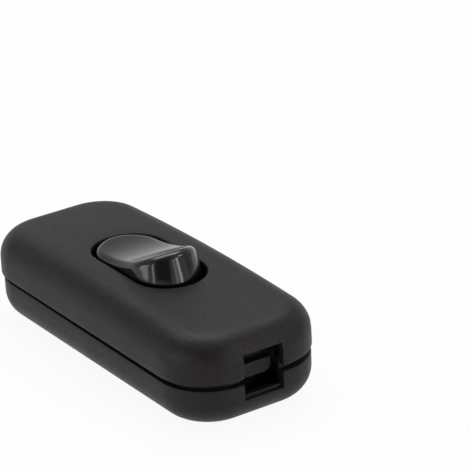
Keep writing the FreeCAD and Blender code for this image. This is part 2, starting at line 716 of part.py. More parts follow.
def make_fixed_tip():
    top = pin_height - tip_reach * sine(seesaw_tilt) - closed_gap
    tip = start_body("fixed_contact_tip")
    posts(tip, "fixed_tip_head", strip_top, top, fixed_tip_radius, [(-tip_reach, 0)])
    round_off(tip, "fixed_tip_round", edges_of(tip, facing(1, top)), tip_round)
    posts(tip, "fixed_tip_shank", strip_height, strip_top + overlap, tip_shank_radius, [(-tip_reach, 0)])
    return tip


def make_pivot_pin():
    pin = start_body("contact_pivot_pin", 0, 0, pin_height)
    drawing = sketch(pin, "pin_section", "XZ_Plane")
    circle(drawing, pin_radius)
    grow(pin, drawing, pin_length, both_ways=True)
    return pin


def make_common_strip():
    """Stamped strip with a fork for the pivot pin and a bent-up stop for the see-saw."""
    strip = start_body("common_contact_strip")
    fork_width = (fork_inner + ear_thickness) * 2
    boxes(strip, "common_strip", strip_height, strip_top,
          [((strip_end - fork_length / 2) / 2, 0, strip_end + fork_length / 2, strip_width)])
    boxes(strip, "common_fork_base", strip_height, strip_top, [(0, 0, fork_length, fork_width)])
    fork_y = fork_inner + ear_thickness / 2
    boxes(strip, "common_fork", strip_height, fork_top,
          [(0, fork_y * side, fork_length * 0.7, ear_thickness) for side in (1, -1)])
    eye = sketch(strip, "common_eye", "XZ_Plane")
    circle(eye, pin_radius + pilot_clearance, 0, pin_height)
    cut(strip, eye, both_ways=True)
    lean = (stop_reach + strip_thickness / 2) * sine(seesaw_tilt)
    stop_top = pin_height + seesaw_underside * cosine(seesaw_tilt) - lean - closed_gap
    boxes(strip, "common_stop", strip_height, stop_top, [(stop_reach, 0, strip_thickness, stop_width)])
    return strip


def make_switched_strip():
    strip = start_body("switched_contact_strip")
    inner = tip_reach - fixed_tip_radius - overlap
    boxes(strip, "switched_strip", strip_height, strip_top,
          [(-(strip_end + inner) / 2, 0, strip_end - inner, strip_width)])
    holes(strip, "switched_rivet_hole", strip_height, strip_thickness, tip_shank_radius, [(-tip_reach, 0)])
    return strip


def make_terminal(label, end):
    """A brass clamp block: the wire goes in along X, and the screw presses on it from above."""
    block = start_body(label, terminal_place * end, 0, strip_top)
    boxes(block, label + "_block", 0, terminal_height, [(0, 0, terminal_size, terminal_size)])
    round_off(block, label + "_corners", upright_edges(block, terminal_height), tip_round)
    way = sketch(block, label + "_wire_bore", "YZ_Plane")
    circle(way, wire_bore_radius, 0, wire_bore_height)
    cut(block, way, both_ways=True)
    holes(block, label + "_screw_hole", terminal_height, terminal_height - wire_bore_height,
          terminal_screw_radius + pilot_clearance, [(0, 0)], up=False)
    return block


def make_through_terminal():
    """The barrel that joins the unswitched core straight through."""
    block = start_body("through_terminal", 0, -through_place, through_seat)
    boxes(block, "through_block", 0, through_height, [(0, 0, through_length, through_width)])
    round_off(block, "through_corners", upright_edges(block, through_height), tip_round)
    way = sketch(block, "through_wire_bore", "YZ_Plane")
    circle(way, wire_bore_radius, 0, wire_bore_height)
    cut(block, way, both_ways=True)
    holes(block, "through_screw_holes", through_height, through_height - wire_bore_height,
          terminal_screw_radius + pilot_clearance, both_ends(through_screw_place), up=False)
    return block


def make_clamp(label, end):
    """Strain-relief bar with a hump over the cord groove and a screw hole in each wing."""
    clamp = start_body(label, clamp_place * end, 0, clamp_seat)
    boxes(clamp, label + "_bar", 0, clamp_wing, [(0, 0, clamp_width, clamp_length)])
    round_off(clamp, label + "_ends", upright_edges(clamp, clamp_wing), clamp_width * 0.4)
    boxes(clamp, label + "_hump", 0, clamp_hump_top - clamp_seat, [(0, 0, clamp_width, clamp_hump_width)])
    crest = edges_of(clamp, facing(1, clamp_hump_top - clamp_seat))
    along = [name for name in crest if clamp.Tip.Shape.getElement(name).BoundBox.XLength > overlap.number]
    round_off(clamp, label + "_hump_round", along, clamp_hump_width * 0.2)
    groove = sketch(clamp, label + "_groove", "YZ_Plane")
    circle(groove, cord_groove_radius, 0, cord_axis - clamp_seat)
    cut(clamp, groove, both_ways=True)
    holes(clamp, label + "_holes", 0, clamp_wing, clamp_screw_radius + screw_clearance,
          both_ends(0, clamp_screw_place))
    return clamp


make_upper_shell()
make_lower_shell()
make_rocker()
make_plunger()
make_spring()
make_seesaw()
make_moving_tip()
make_fixed_tip()
make_pivot_pin()
make_common_strip()
make_switched_strip()
make_terminal("common_terminal", 1)
make_terminal("switched_terminal", -1)
make_through_terminal()
make_clamp("near_cord_clamp", 1)
make_clamp("far_cord_clamp", -1)

terminal_screw_sizes = (terminal_head_radius, terminal_head_height, terminal_screw_radius,
                        terminal_screw_length)
terminal_top = strip_top + terminal_height
screw("common_terminal_screw", terminal_place, 0, terminal_top, *terminal_screw_sizes)
screw("switched_terminal_screw", -terminal_place, 0, terminal_top, *terminal_screw_sizes)
for end, name in ((1, "near"), (-1, "far")):
    screw(f"through_terminal_screw_{name}", through_screw_place * end, -through_place,
          through_seat + through_height, *terminal_screw_sizes)
    for side, hand in ((1, "left"), (-1, "right")):
        screw(f"{name}_clamp_screw_{hand}", clamp_place * end, clamp_screw_place * side,
              clamp_seat + clamp_wing, clamp_head_radius, clamp_head_height, clamp_screw_radius,
              clamp_screw_length)
    screw(f"housing_screw_{name}", screw_place_x * end, screw_place_y * end, screw_seat, screw_head_radius,
          screw_head_height, screw_radius, screw_length, point_up=True)

doc.recompute()
for thing in doc.Objects:
    failed = [state for state in thing.State if state in ("Invalid", "Error")]
    assert not failed, f"{thing.Name} failed"
os.makedirs("parts", exist_ok=True)
for made in bodies:
    assert not made.Shape.isNull(), made.Label + " is empty"
    assert made.Shape.isValid(), made.Label + " is not valid"
    assert len(made.Shape.Solids) == 1, f"{made.Label} has {len(made.Shape.Solids)} solids"
    made.Shape.exportStep(f"parts/{made.Label}.step")
    print(f"{made.Label}: {made.Shape.Volume:.1f} mm3")
print(len(bodies), "sub-parts written")
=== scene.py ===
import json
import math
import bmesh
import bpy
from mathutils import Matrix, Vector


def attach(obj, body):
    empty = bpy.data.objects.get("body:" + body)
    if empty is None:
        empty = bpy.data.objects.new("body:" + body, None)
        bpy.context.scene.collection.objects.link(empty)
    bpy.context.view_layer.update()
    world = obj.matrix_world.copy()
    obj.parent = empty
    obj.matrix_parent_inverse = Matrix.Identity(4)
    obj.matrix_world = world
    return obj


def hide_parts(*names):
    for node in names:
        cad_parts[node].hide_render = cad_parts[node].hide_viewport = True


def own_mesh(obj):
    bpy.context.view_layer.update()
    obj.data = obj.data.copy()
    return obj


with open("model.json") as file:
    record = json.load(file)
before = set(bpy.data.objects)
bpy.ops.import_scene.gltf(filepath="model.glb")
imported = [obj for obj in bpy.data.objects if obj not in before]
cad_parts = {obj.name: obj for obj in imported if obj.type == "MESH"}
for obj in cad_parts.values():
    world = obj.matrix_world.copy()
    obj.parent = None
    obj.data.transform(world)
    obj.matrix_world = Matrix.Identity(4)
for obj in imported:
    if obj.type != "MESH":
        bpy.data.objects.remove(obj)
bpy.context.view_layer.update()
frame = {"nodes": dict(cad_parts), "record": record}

# %% [markdown]
# # An inline cord switch
# The frame now holds the measured solids of the switch, each in its place. They are exact but
# faceted, so this lesson dresses the parts that show: the two housing shells, the dished
# rocker, the screws and the spring. First the tools: a size in millimetres, and the scene.

MM = 0.001
scene = bpy.context.scene

# %% [markdown]
# ## The housing's outline
# Seen from above, the housing is a rectangle with generous round corners. Every line on it, such
# as the rim, the foot of the edge round or the inside wall, is the same outline moved in or out.
# So the outline is stored as stations: a centre point and the direction that faces out of it.
# A ring of the mesh is then each centre plus a reach in that direction.

# %% Outline stations
HALF_LENGTH = 30.0
HALF_WIDTH = 12.65
CORNER = 8.5
ENTRY_HALF = 3.4
APERTURE_CENTRE = 5.47
CORNER_STEPS = 20
FLAT_STEPS = 4
FAN_STEPS, FAN_DEGREES = 19, 3.2


def quarter_turn(steps):
    """The angles of even steps over a quarter turn, with both ends."""
    return [math.pi / 2 * step / steps for step in range(steps + 1)]


def arc_stations(x, y, start):
    """Stations round a quarter turn, without its two ends."""
    return [(x, y, start + turn) for turn in quarter_turn(CORNER_STEPS)[1:-1]]


def side_places():
    """Places along a long side, closer together beside the rocker's round ends."""
    reach = HALF_WIDTH - CORNER / 2
    turns = [math.radians(FAN_DEGREES * step) for step in range(1, FAN_STEPS + 1)]
    right = [APERTURE_CENTRE * step / FLAT_STEPS for step in range(FLAT_STEPS + 1)]
    right += [APERTURE_CENTRE + reach * math.tan(turn) for turn in turns]
    right.append(HALF_LENGTH - CORNER)
    return [-place for place in reversed(right) if place > 0] + right


def housing_stations():
    along, across = HALF_LENGTH - CORNER, HALF_WIDTH - CORNER
    half = ENTRY_HALF / 2
    end_places = [-across, -ENTRY_HALF, -half, 0.0, half, ENTRY_HALF, across]
    side = side_places()
    turn = math.pi / 2
    stations = [(along, y, 0.0) for y in end_places]
    stations += arc_stations(along, across, 0.0)
    stations += [(x, across, turn) for x in reversed(side)]
    stations += arc_stations(-along, across, turn)
    stations += [(-along, y, turn * 2) for y in reversed(end_places)]
    stations += arc_stations(-along, -across, turn * 2)
    stations += [(x, -across, turn * 3) for x in side]
    stations += arc_stations(along, -across, turn * 3)
    return stations


stations = housing_stations()
print("The outline has", len(stations), "stations")

# %% [markdown]
# ## Rings into a skin
# Each shell is a stack of rings, joined by quads from one ring to the next. That keeps the edge
# flow as clean as a moulder's own drawing: the rounds get as many rings as they need, and the
# flat parts few. The same joining works for the rocker and the screws, so it is one function.


# %% Joining rings
def skin_from_rings(places, closed=False, caps=()):
    """A mesh builder with quads from each ring of places to the next, and its rings of vertices.
    closed joins the last ring to the first; caps lists the rings that get a face across them."""
    builder = bmesh.new()
    rings = [[builder.verts.new(Vector(place) * MM) for place in ring] for ring in places]
    pairs = list(zip(rings, rings[1:]))
    if closed:
        pairs.append((rings[-1], rings[0]))
    for lower, upper in pairs:
        for index in range(len(lower)):
            after = (index + 1) % len(lower)
            builder.faces.new([lower[index], lower[after], upper[after], upper[index]])
    for cap in caps:
        builder.faces.new(rings[cap])
    return builder, rings


def finished_object(name, builder):
    """Turns built geometry into a linked object with its faces pointing out."""
    bmesh.ops.recalc_face_normals(builder, faces=builder.faces)
    mesh = bpy.data.meshes.new(name)
    builder.to_mesh(mesh)
    builder.free()
    made = bpy.data.objects.new(name, mesh)
    scene.collection.objects.link(made)
    return made


# %% [markdown]
# ## Rounded edges where two faces meet
# A section through the wall shows a straight wall, a round, and a top that slopes a little. The
# round has to touch both, so its centre is found by stepping towards it: a few steps are enough,
# because the top is nearly flat there. The rocker's walls lean in, so the lean is an input.

# %% Section through a wall, its round and the top
SETTLING_STEPS = 8
SLOPE_STEP = 0.01


def rounded_section(station, wall_reach, wall_foot, lean, radius, top, steps):
    """Points (reach, height) from the wall's end of the round to the top's end of it, and the
    round's centre. top gives the height above a place along X."""
    x, _, angle = station
    forward = math.cos(angle)
    reach = wall_reach - radius
    for _ in range(SETTLING_STEPS):
        place = x + forward * reach
        rise = top(place + SLOPE_STEP) - top(place - SLOPE_STEP)
        slope = rise / (2 * SLOPE_STEP) * forward
        height = top(place) - radius * math.hypot(1.0, slope)
        reach = wall_reach - (height - wall_foot) * math.tan(lean) - radius / math.cos(lean)
    start, end = lean, math.pi / 2 + math.atan(slope)
    points = []
    for step in range(steps + 1):
        turn = start + (end - start) * step / steps
        points.append((reach + radius * math.cos(turn), height + radius * math.sin(turn)))
    return points, (reach, height)


def place_at(station, reach, height, shift=0.0):
    x, y, angle = station
    return (x + shift + math.cos(angle) * reach, y + math.sin(angle) * reach, height)


def on_round(station, centre, radius, turn):
    """A place on a round, whose centre is a reach and a height; the turn rises from level."""
    return place_at(station, centre[0] + radius * math.cos(turn),
                    centre[1] + radius * math.sin(turn))


# %% [markdown]
# ## Small help for cutting and joining
# Bosses, pin bearings and screw ways sit on the plain shell, so they are added and cut with
# exact Booleans. A modifier only describes the result; reading the evaluated object back as a
# mesh makes it real, and leaves the object with nothing live on it. Where faces meet at a slight
# angle a Boolean leaves slivers, so points that lie in the same place are merged after each one.

# %% Booleans, edge rounds and shading
SAME_PLACE = 0.0002
SOFT_EDGE, SOFT_STEPS, SOFT_FROM = 0.12, 2, 50
SHARP_FROM = 32


def settle(target):
    """Makes the object's modifiers part of its mesh."""
    graph = bpy.context.evaluated_depsgraph_get()
    mesh = bpy.data.meshes.new_from_object(target.evaluated_get(graph))
    target.modifiers.clear()
    old = target.data
    target.data = mesh
    bpy.data.meshes.remove(old)
    mesh.name = target.name


def combine(target, tools, operation):
    """Adds or cuts a list of closed tool objects, one exact Boolean for all of them."""
    group = bpy.data.collections.new("tools")
    for tool in tools:
        group.objects.link(tool)
    change = target.modifiers.new("change", "BOOLEAN")
    change.operation = operation
    change.operand_type = "COLLECTION"
    change.collection = group
    change.solver = "EXACT"
    settle(target)
    for tool in tools:
        bpy.data.objects.remove(tool)
    bpy.data.collections.remove(group)
    builder = bmesh.new()
    builder.from_mesh(target.data)
    bmesh.ops.remove_doubles(builder, verts=builder.verts, dist=SAME_PLACE * MM)
    bmesh.ops.dissolve_degenerate(builder, edges=builder.edges, dist=SAME_PLACE * MM)
    builder.to_mesh(target.data)
    builder.free()


def soften_edges(target):
    """A small round on every sharp edge: a mould never gives a knife edge."""
    change = target.modifiers.new("soften", "BEVEL")
    change.width = SOFT_EDGE * MM
    change.segments = SOFT_STEPS
    change.limit_method = "ANGLE"
    change.angle_limit = math.radians(SOFT_FROM)
    change.use_clamp_overlap = False
    settle(target)


def smooth_shading(target, sharp_from=SHARP_FROM):
    mesh = target.data
    mesh.polygons.foreach_set("use_smooth", [True] * len(mesh.polygons))
    mesh.set_sharp_from_angle(angle=math.radians(sharp_from))
    mesh.update()


def basic_shape(name, create, matrix, **sizes):
    """One of Blender's basic shapes, put in place by a matrix that works on its mesh."""
    builder = bmesh.new()
    create(builder, **sizes)
    bmesh.ops.transform(builder, matrix=matrix, verts=builder.verts)
    return finished_object(name, builder)


def block(low, high):
    """A box tool between two corners."""
    middle = (Vector(low) + Vector(high)) / 2 * MM
    span = (Vector(high) - Vector(low)) * MM
    return basic_shape("block", bmesh.ops.create_cube, size=1.0,
                       matrix=Matrix.Translation(middle) @ Matrix.Diagonal((*span, 1.0)))


def rod(start, end, radius, sides=48):
    """A round bar tool between two points."""
    first, last = Vector(start) * MM, Vector(end) * MM
    line = last - first
    turn = Vector((0, 0, 1)).rotation_difference(line).to_matrix().to_4x4()
    return basic_shape("rod", bmesh.ops.create_cone, cap_ends=True, segments=sides,
                       radius1=radius * MM, radius2=radius * MM, depth=line.length,
                       matrix=Matrix.Translation((first + last) / 2) @ turn)


# %% [markdown]
# ## Colours and a node helper
# Colours are written as the hex values a screen shows and turned into the linear numbers that
# shading works in. One small function adds a node with its inputs and settings, which keeps
# each material short enough to read.


# %% Colour and node helpers
def linear(hex_colour):
    """An sRGB hex colour as linear red, green, blue and full alpha."""
    channels = [int(hex_colour[start:start + 2], 16) / 255 for start in (1, 3, 5)]
    bent = [c / 12.92 if c <= 0.04045 else ((c + 0.055) / 1.055) ** 2.4 for c in channels]
    return (*bent, 1.0)


def add_node(tree, kind, inputs=None, **settings):
    """An input takes a value, a socket, or a node whose first output is meant."""
    made = tree.nodes.new(kind)
    for key, value in settings.items():
        setattr(made, key, value)
    for key, value in (inputs or {}).items():
        source = value.outputs[0] if isinstance(value, bpy.types.Node) else value
        if isinstance(source, bpy.types.NodeSocket):
            tree.links.new(source, made.inputs[key])
        else:
            made.inputs[key].default_value = source
    return made


def new_material(name):
    made = bpy.data.materials.new(name)
    made.use_nodes = True
    made.node_tree.nodes.clear()
    return made, made.node_tree


def paint(target, material):
    target.data.materials.clear()
    target.data.materials.append(material)


def grains_per_metre(size_mm):
    return 1.0 / (size_mm * MM)


# %% [markdown]
# ## The upper shell
# The real one is a single moulding: a crowned top, a deep round all the way along its edge, and
# a stadium-shaped window for the rocker. It could be a box with bevels, but the crown is a very
# shallow curve and the round must follow it, so the rings are worked out from the section.
# The skin closes on itself: outside wall, round, top, window, ceiling, inside wall and rim.

# %% Upper shell: sizes and the crown
RIM = 7.5
CROWN, CROWN_RADIUS = 15.0, 430.0
EDGE_ROUND = 4.4
WALL = 1.8
WINDOW_HALF_WIDTH, WINDOW_LIP = 5.86, 0.3
REBATE_DEPTH, REBATE_TOP = 1.17, 8.9
ENTRY_TOP = 11.1
ROUND_STEPS, TOP_STEPS, LIP_STEPS = 12, 5, 4


def crown_height(x):
    return CROWN - CROWN_RADIUS + math.sqrt(CROWN_RADIUS ** 2 - x ** 2)


def window_place(place, outward):
    """The nearest place on the window's edge, moved outward from it."""
    x, y = place[0], place[1]
    centre = max(-APERTURE_CENTRE, min(APERTURE_CENTRE, x))
    line = Vector((x - centre, y))
    line.normalize()
    reach = WINDOW_HALF_WIDTH + outward
    return centre + line.x * reach, line.y * reach


def turns_through(marked):
    """Even steps over a quarter turn, with the nearest of them moved to the marked angle."""
    even = quarter_turn(ROUND_STEPS)
    near = min(even[1:-1], key=lambda turn: abs(turn - marked))
    return [marked if turn == near else turn for turn in even]


# %% Upper shell: rings of the skin
def upper_rings():
    """Rings from the rim's outer edge up, over the top, in at the window and back to the rim."""
    sections = [rounded_section(station, CORNER, RIM, 0.0, EDGE_ROUND, crown_height, ROUND_STEPS)
                for station in stations]
    middle = stations.index((HALF_LENGTH - CORNER, 0.0, 0.0))
    entry_rise = ENTRY_TOP - sections[middle][1][1]
    inner_round = EDGE_ROUND - WALL
    entry_turn = math.asin(entry_rise / EDGE_ROUND)
    inner_turn = math.asin(entry_rise / inner_round)
    rings, names = [], []

    def add(name, places):
        names.append(name)
        rings.append(places)

    for name, rise in (("rim", 0.0), ("wall", 0.3), ("wall", 0.65)):
        add(name, [place_at(station, CORNER, RIM + (centre[1] - RIM) * rise)
                   for station, (_, centre) in zip(stations, sections)])
    for turn in turns_through(entry_turn):
        ring = []
        for station, (points, centre) in zip(stations, sections):
            last = math.atan2(points[-1][1] - centre[1], points[-1][0] - centre[0])
            bend = turn * last / (math.pi / 2) if turn > entry_turn else turn
            ring.append(on_round(station, centre, EDGE_ROUND, bend))
        add("entry" if turn == entry_turn else "round", ring)
    outer_edge = rings[-1]
    for step in range(1, TOP_STEPS + 1):
        ring = []
        for place in outer_edge:
            goal = window_place(place, WINDOW_LIP)
            x = place[0] + (goal[0] - place[0]) * step / TOP_STEPS
            y = place[1] + (goal[1] - place[1]) * step / TOP_STEPS
            ring.append((x, y, crown_height(x)))
        add("top", ring)

    def window_ring(outward, drop):
        edge = [window_place(place, outward) for place in outer_edge]
        return [(x, y, crown_height(x) - drop) for x, y in edge]

    for turn in quarter_turn(LIP_STEPS)[1:]:
        add("lip", window_ring(WINDOW_LIP * (1 - math.sin(turn)),
                               WINDOW_LIP * (1 - math.cos(turn))))
    add("window foot", window_ring(0.0, WALL))
    for turn in reversed(turns_through(inner_turn)):
        add("inner entry" if turn == inner_turn else "inner round",
            [on_round(station, centre, inner_round, turn)
             for station, (_, centre) in zip(stations, sections)])
    for name, depth, height in (("inner wall", WALL, REBATE_TOP),
                                ("rebate", REBATE_DEPTH, REBATE_TOP),
                                ("inner rim", REBATE_DEPTH, RIM)):
        add(name, [place_at(station, CORNER - depth, height) for station in stations])
    return rings, names


upper_places, upper_names = upper_rings()
print("Upper shell has", len(upper_places), "rings")

# %% [markdown]
# ## The cord entries
# Each end has a notch for the cord, half in each shell. Two stations stand exactly on the
# notch's sides and a ring runs exactly along its top, so the notch needs no Boolean: the quads
# inside it go, and flat faces close its sides and its top. The edges stay clean to round.

# %% Opening a notch in a skin
CLOSE = 1e-6


def notch_stations(end):
    """Indexes of the stations from one side of the entry to the other."""
    angle = 0.0 if end > 0 else math.pi
    return [index for index, (_, y, turn) in enumerate(stations)
            if abs(turn - angle) < CLOSE and abs(y) <= ENTRY_HALF + CLOSE]


def drop_quads(builder, rings, levels, chosen):
    """Takes out the quads between the chosen stations, from each level to the next."""
    gone = []
    for level in levels:
        above = rings[(level + 1) % len(rings)]
        for first, second in zip(chosen, chosen[1:]):
            corners = {rings[level][first], rings[level][second], above[second], above[first]}
            gone += [face for face in rings[level][first].link_faces if set(face.verts) == corners]
    bmesh.ops.delete(builder, geom=gone, context="FACES_ONLY")


def remove_loose(builder):
    wires = [edge for edge in builder.edges if not edge.link_faces]
    bmesh.ops.delete(builder, geom=wires, context="EDGES")
    lone = [vertex for vertex in builder.verts if not vertex.link_faces]
    bmesh.ops.delete(builder, geom=lone, context="VERTS")


def open_upper_notch(builder, rings, names, end):
    chosen = notch_stations(end)
    count, top, inner_top = len(rings), names.index("entry"), names.index("inner entry")
    loop = [index % count for index in range(inner_top, count + top + 1)]
    drop_quads(builder, rings, loop[:-1], chosen)
    for side in (chosen[0], chosen[-1]):
        builder.faces.new([rings[level][side] for level in loop])
    outer_row = [rings[top][index] for index in chosen]
    inner_row = [rings[inner_top][index] for index in reversed(chosen)]
    builder.faces.new(outer_row + inner_row)
    remove_loose(builder)


# %% Upper shell: the skin
def make_shell(name, places, names, open_notch, **joining):
    """The skin of a shell, with its two notches and soft edges."""
    builder, rings = skin_from_rings(places, **joining)
    for end in (1, -1):
        open_notch(builder, rings, names, end)
    made = finished_object(name, builder)
    soften_edges(made)
    return made


upper_housing = make_shell("upper_housing", upper_places, upper_names, open_upper_notch,
                           closed=True)
print("Upper skin:", len(upper_housing.data.polygons), "faces")

# %% [markdown]
# ## Inside the upper shell
# Two cheeks carry the rocker's trunnions and two bosses take the housing screws. A thin tab hangs
# behind each notch, to be broken out when the cord goes in; the solids leave it out, because the
# cord passes there. All are simple prisms and bars, joined on and cut with two Booleans.

# %% Upper shell: sizes of the cheeks, bosses, tabs and the pry groove
PIVOT = 11.6
BEARING_RADIUS, BEARING_END, BEARING_MOUTH = 1.15, 7.9, 9.0
CHEEK_BACK, CHEEK_FACE, CHEEK_HALF = 6.0, 7.6, 2.6
CHEEK_BOTTOM, CHEEK_TOP = 9.4, 13.6
SCREW_X, SCREW_Y = 17.4, 6.4
BOSS_JOINT, BOSS_TOP, BOSS_RADIUS = 7.0, 13.4, 2.6
PILOT_TOP, PILOT_RADIUS = 11.8, 1.33
LIP_BACK, LIP_FACE, LIP_HALF, LIP_TOP = 26.1, 27.9, 2.5, 8.6
TAB_BACK, TAB_FACE, TAB_HALF, TAB_TOP = 25.8, 26.4, 3.3, 12.8
TAB_BOTTOM, TAB_ROUND, TAB_OVERLAP = 6.4, 1.05, 0.5
PRY_ANGLE = math.radians(58.0)
PRY_OUTSIDE, PRY_RADIUS = 0.85, 1.2
PRY_BOTTOM, PRY_TOP = 8.7, 11.6
OVERSHOOT = 1.0
print("The rocker turns", PIVOT, "mm above the ground")


# %% Upper shell: cheeks, bosses, tabs and the pry groove
def tab_pieces(end):
    """A flat tab that hangs from the top, and in front of its foot a lip with round corners."""
    near, far = sorted((LIP_BACK * end, LIP_FACE * end))
    back, front = sorted((TAB_BACK * end, TAB_FACE * end))
    inner, centre = LIP_HALF - TAB_ROUND, TAB_BOTTOM + TAB_ROUND
    pieces = [block((back, -TAB_HALF, centre - TAB_OVERLAP), (front, TAB_HALF, TAB_TOP)),
              block((near, -LIP_HALF, centre), (far, LIP_HALF, LIP_TOP)),
              block((near, -inner, TAB_BOTTOM), (far, inner, centre + TAB_OVERLAP))]
    corners = [rod((near, y, centre), (far, y, centre), TAB_ROUND, sides=64)
               for y in (inner, -inner)]
    return pieces + corners


def join_and_cut(target, additions, cuts):
    combine(target, additions, "UNION")
    combine(target, cuts, "DIFFERENCE")
    smooth_shading(target)


def add_upper_details():
    additions, cuts = [], []
    for side in (1, -1):
        inner, outer = sorted((CHEEK_BACK * side, CHEEK_FACE * side))
        additions.append(block((-CHEEK_HALF, inner, CHEEK_BOTTOM), (CHEEK_HALF, outer, CHEEK_TOP)))
        x, y = SCREW_X * side, SCREW_Y * side
        additions.append(rod((x, y, BOSS_JOINT), (x, y, BOSS_TOP), BOSS_RADIUS))
        cuts.append(rod((x, y, BOSS_JOINT - OVERSHOOT), (x, y, PILOT_TOP), PILOT_RADIUS, sides=32))
        additions += tab_pieces(side)
    cuts.append(rod((0, -BEARING_END, PIVOT), (0, BEARING_END, PIVOT), BEARING_RADIUS))
    cuts.append(block((-BEARING_RADIUS, -BEARING_END, BEARING_MOUTH),
                      (BEARING_RADIUS, BEARING_END, PIVOT)))
    reach = CORNER + PRY_OUTSIDE
    x = HALF_LENGTH - CORNER + reach * math.cos(PRY_ANGLE)
    y = HALF_WIDTH - CORNER + reach * math.sin(PRY_ANGLE)
    cuts.append(rod((x, y, PRY_BOTTOM), (x, y, PRY_TOP), PRY_RADIUS, sides=96))
    join_and_cut(upper_housing, additions, cuts)


add_upper_details()
print("Upper shell:", len(upper_housing.data.polygons), "faces")

# %% [markdown]
# ## The lower shell
# A shallow tray with the same outline, a hair smaller, so that the upper shell stands over it.
# Its rim slopes a little, which is why the dark joint line in the photograph widens towards the
# near end. A thin tongue rises from the rim into the upper shell and closes the joint.

# %% Lower shell: sizes and rings
LOWER_INSET, LOWER_SHIFT = 0.27, 0.2
FAR_GAP, NEAR_GAP = 0.55, 0.95
TONGUE_OUTER, TONGUE_INNER, TONGUE_TOP = 1.27, 2.07, 8.7
FLOOR, FLOOR_ROUND, FLOOR_STEPS = 1.8, 1.2, 4
SILL, SILL_FRONT_DEPTH = 3.95, 0.9
LEDGE = 4.4
WALL_LEVEL = 5.4


def rim_height(x):
    slope = (NEAR_GAP - FAR_GAP) / (HALF_LENGTH * 2)
    return RIM - FAR_GAP - slope * (x + HALF_LENGTH)


def lower_rings():
    """Rings from the middle of the underside out, up to the rim, over the tongue and down."""
    outer = CORNER - LOWER_INSET
    tongue, inside = CORNER - TONGUE_OUTER, CORNER - TONGUE_INNER
    rings, names = [], []

    def add(name, reach, height, shift=0.0):
        names.append(name)
        places = [place_at(station, reach, 0.0, shift) for station in stations]
        rings.append([(x, y, height(x) if callable(height) else height) for x, y, _ in places])

    sill_turn = math.acos(1 - SILL / EDGE_ROUND)
    for turn in turns_through(sill_turn):
        add("sill" if turn == sill_turn else "underside round",
            outer - EDGE_ROUND + EDGE_ROUND * math.sin(turn), EDGE_ROUND * (1 - math.cos(turn)),
            LOWER_SHIFT)
    add("wall", outer, WALL_LEVEL, LOWER_SHIFT)
    add("rim", outer, rim_height, LOWER_SHIFT)
    add("rim foot", tongue, rim_height)
    add("tongue", tongue, TONGUE_TOP)
    add("tongue inside", inside, TONGUE_TOP)
    add("ledge", inside, LEDGE)
    for turn in quarter_turn(FLOOR_STEPS):
        add("floor round", inside - FLOOR_ROUND * (1 - math.cos(turn)),
            FLOOR + FLOOR_ROUND * (1 - math.sin(turn)))
    return rings, names


lower_places, lower_names = lower_rings()
print("Lower shell has", len(lower_places), "rings")


# %% Lower shell: the skin and its notches
def open_lower_notch(builder, rings, names, end):
    """The sill is cut lower outside than inside, so that the cord bends over a step."""
    chosen = notch_stations(end)
    sill, ledge = names.index("sill"), names.index("ledge")
    drop_quads(builder, rings, range(sill, ledge), chosen)
    back = (HALF_LENGTH - SILL_FRONT_DEPTH) * end
    steps = []
    for side in (chosen[0], chosen[-1]):
        low, high = [builder.verts.new(Vector((back, stations[side][1], level)) * MM)
                     for level in (SILL, LEDGE)]
        builder.faces.new([rings[level][side] for level in range(sill, ledge + 1)] + [high, low])
        steps.append((low, high))
    (low, high), (last_low, last_high) = steps
    builder.faces.new([rings[sill][index] for index in chosen] + [last_low, low])
    builder.faces.new([low, last_low, last_high, high])
    builder.faces.new([rings[ledge][index] for index in chosen] + [last_high, high])
    remove_loose(builder)


lower_housing = make_shell("lower_housing", lower_places, lower_names, open_lower_notch,
                           caps=(0, -1))
print("Lower skin:", len(lower_housing.data.polygons), "faces")

# %% [markdown]
# ## Inside the lower shell
# Screw bosses, saddles under the cord, pads under the contact strips and the walls beside the
# terminals. The screw ways are cut from below and end in wide counterbores, which are what
# shows when the switch is turned over.

# %% Lower shell: sizes of the bosses, ribs and screw ways
RIB = 0.9
RIB_ROOT = FLOOR - 0.4
CORD_AXIS, GROOVE_RADIUS = 7.4, 3.1
SADDLE_STEP, SADDLE_HALF, SADDLE_TOP = 1.1, 3.55, 5.6
CLAMP_X, CLAMP_Y, CLAMP_SEAT = 23.4, 6.3, 8.0
CLAMP_BOSS, CLAMP_PILOT, CLAMP_PILOT_BOTTOM = 2.2, 1.28, 3.6
TERMINAL_X = 14.4
SIDE_WALL_Y, SIDE_WALL_HALF, SIDE_WALL_TOP = 3.25, 3.05, 6.0
SCREW_SEAT, SCREW_BOSS = 3.2, 3.4
COUNTERBORE, SCREW_WAY = 2.8, 1.45
FENCE_X, FENCE_TOP = 6.55, 3.1
FENCE_RIGHT, FENCE_LEFT = -10.2, -6.0
STRIP_END = TERMINAL_X + 2.6
# back, front, right, left and top of each
FLOOR_PRISMS = {"common strip pad": (-1.8, STRIP_END, -2.2, 2.2, 2.2),
                "switched strip pad": (-STRIP_END, -6.0, -2.2, 2.2, 2.2),
                "through terminal pad": (-4.8, 4.8, -9.57, -6.63, 2.6),
                "left guide": (-10.5, 10.5, 5.4 - RIB / 2, 5.4 + RIB / 2, 6.8),
                "right guide": (-10.5, 10.5, -5.4 - RIB / 2, RIB / 2 - 5.4, 6.8)}
print("Prisms on the floor:", ", ".join(FLOOR_PRISMS))


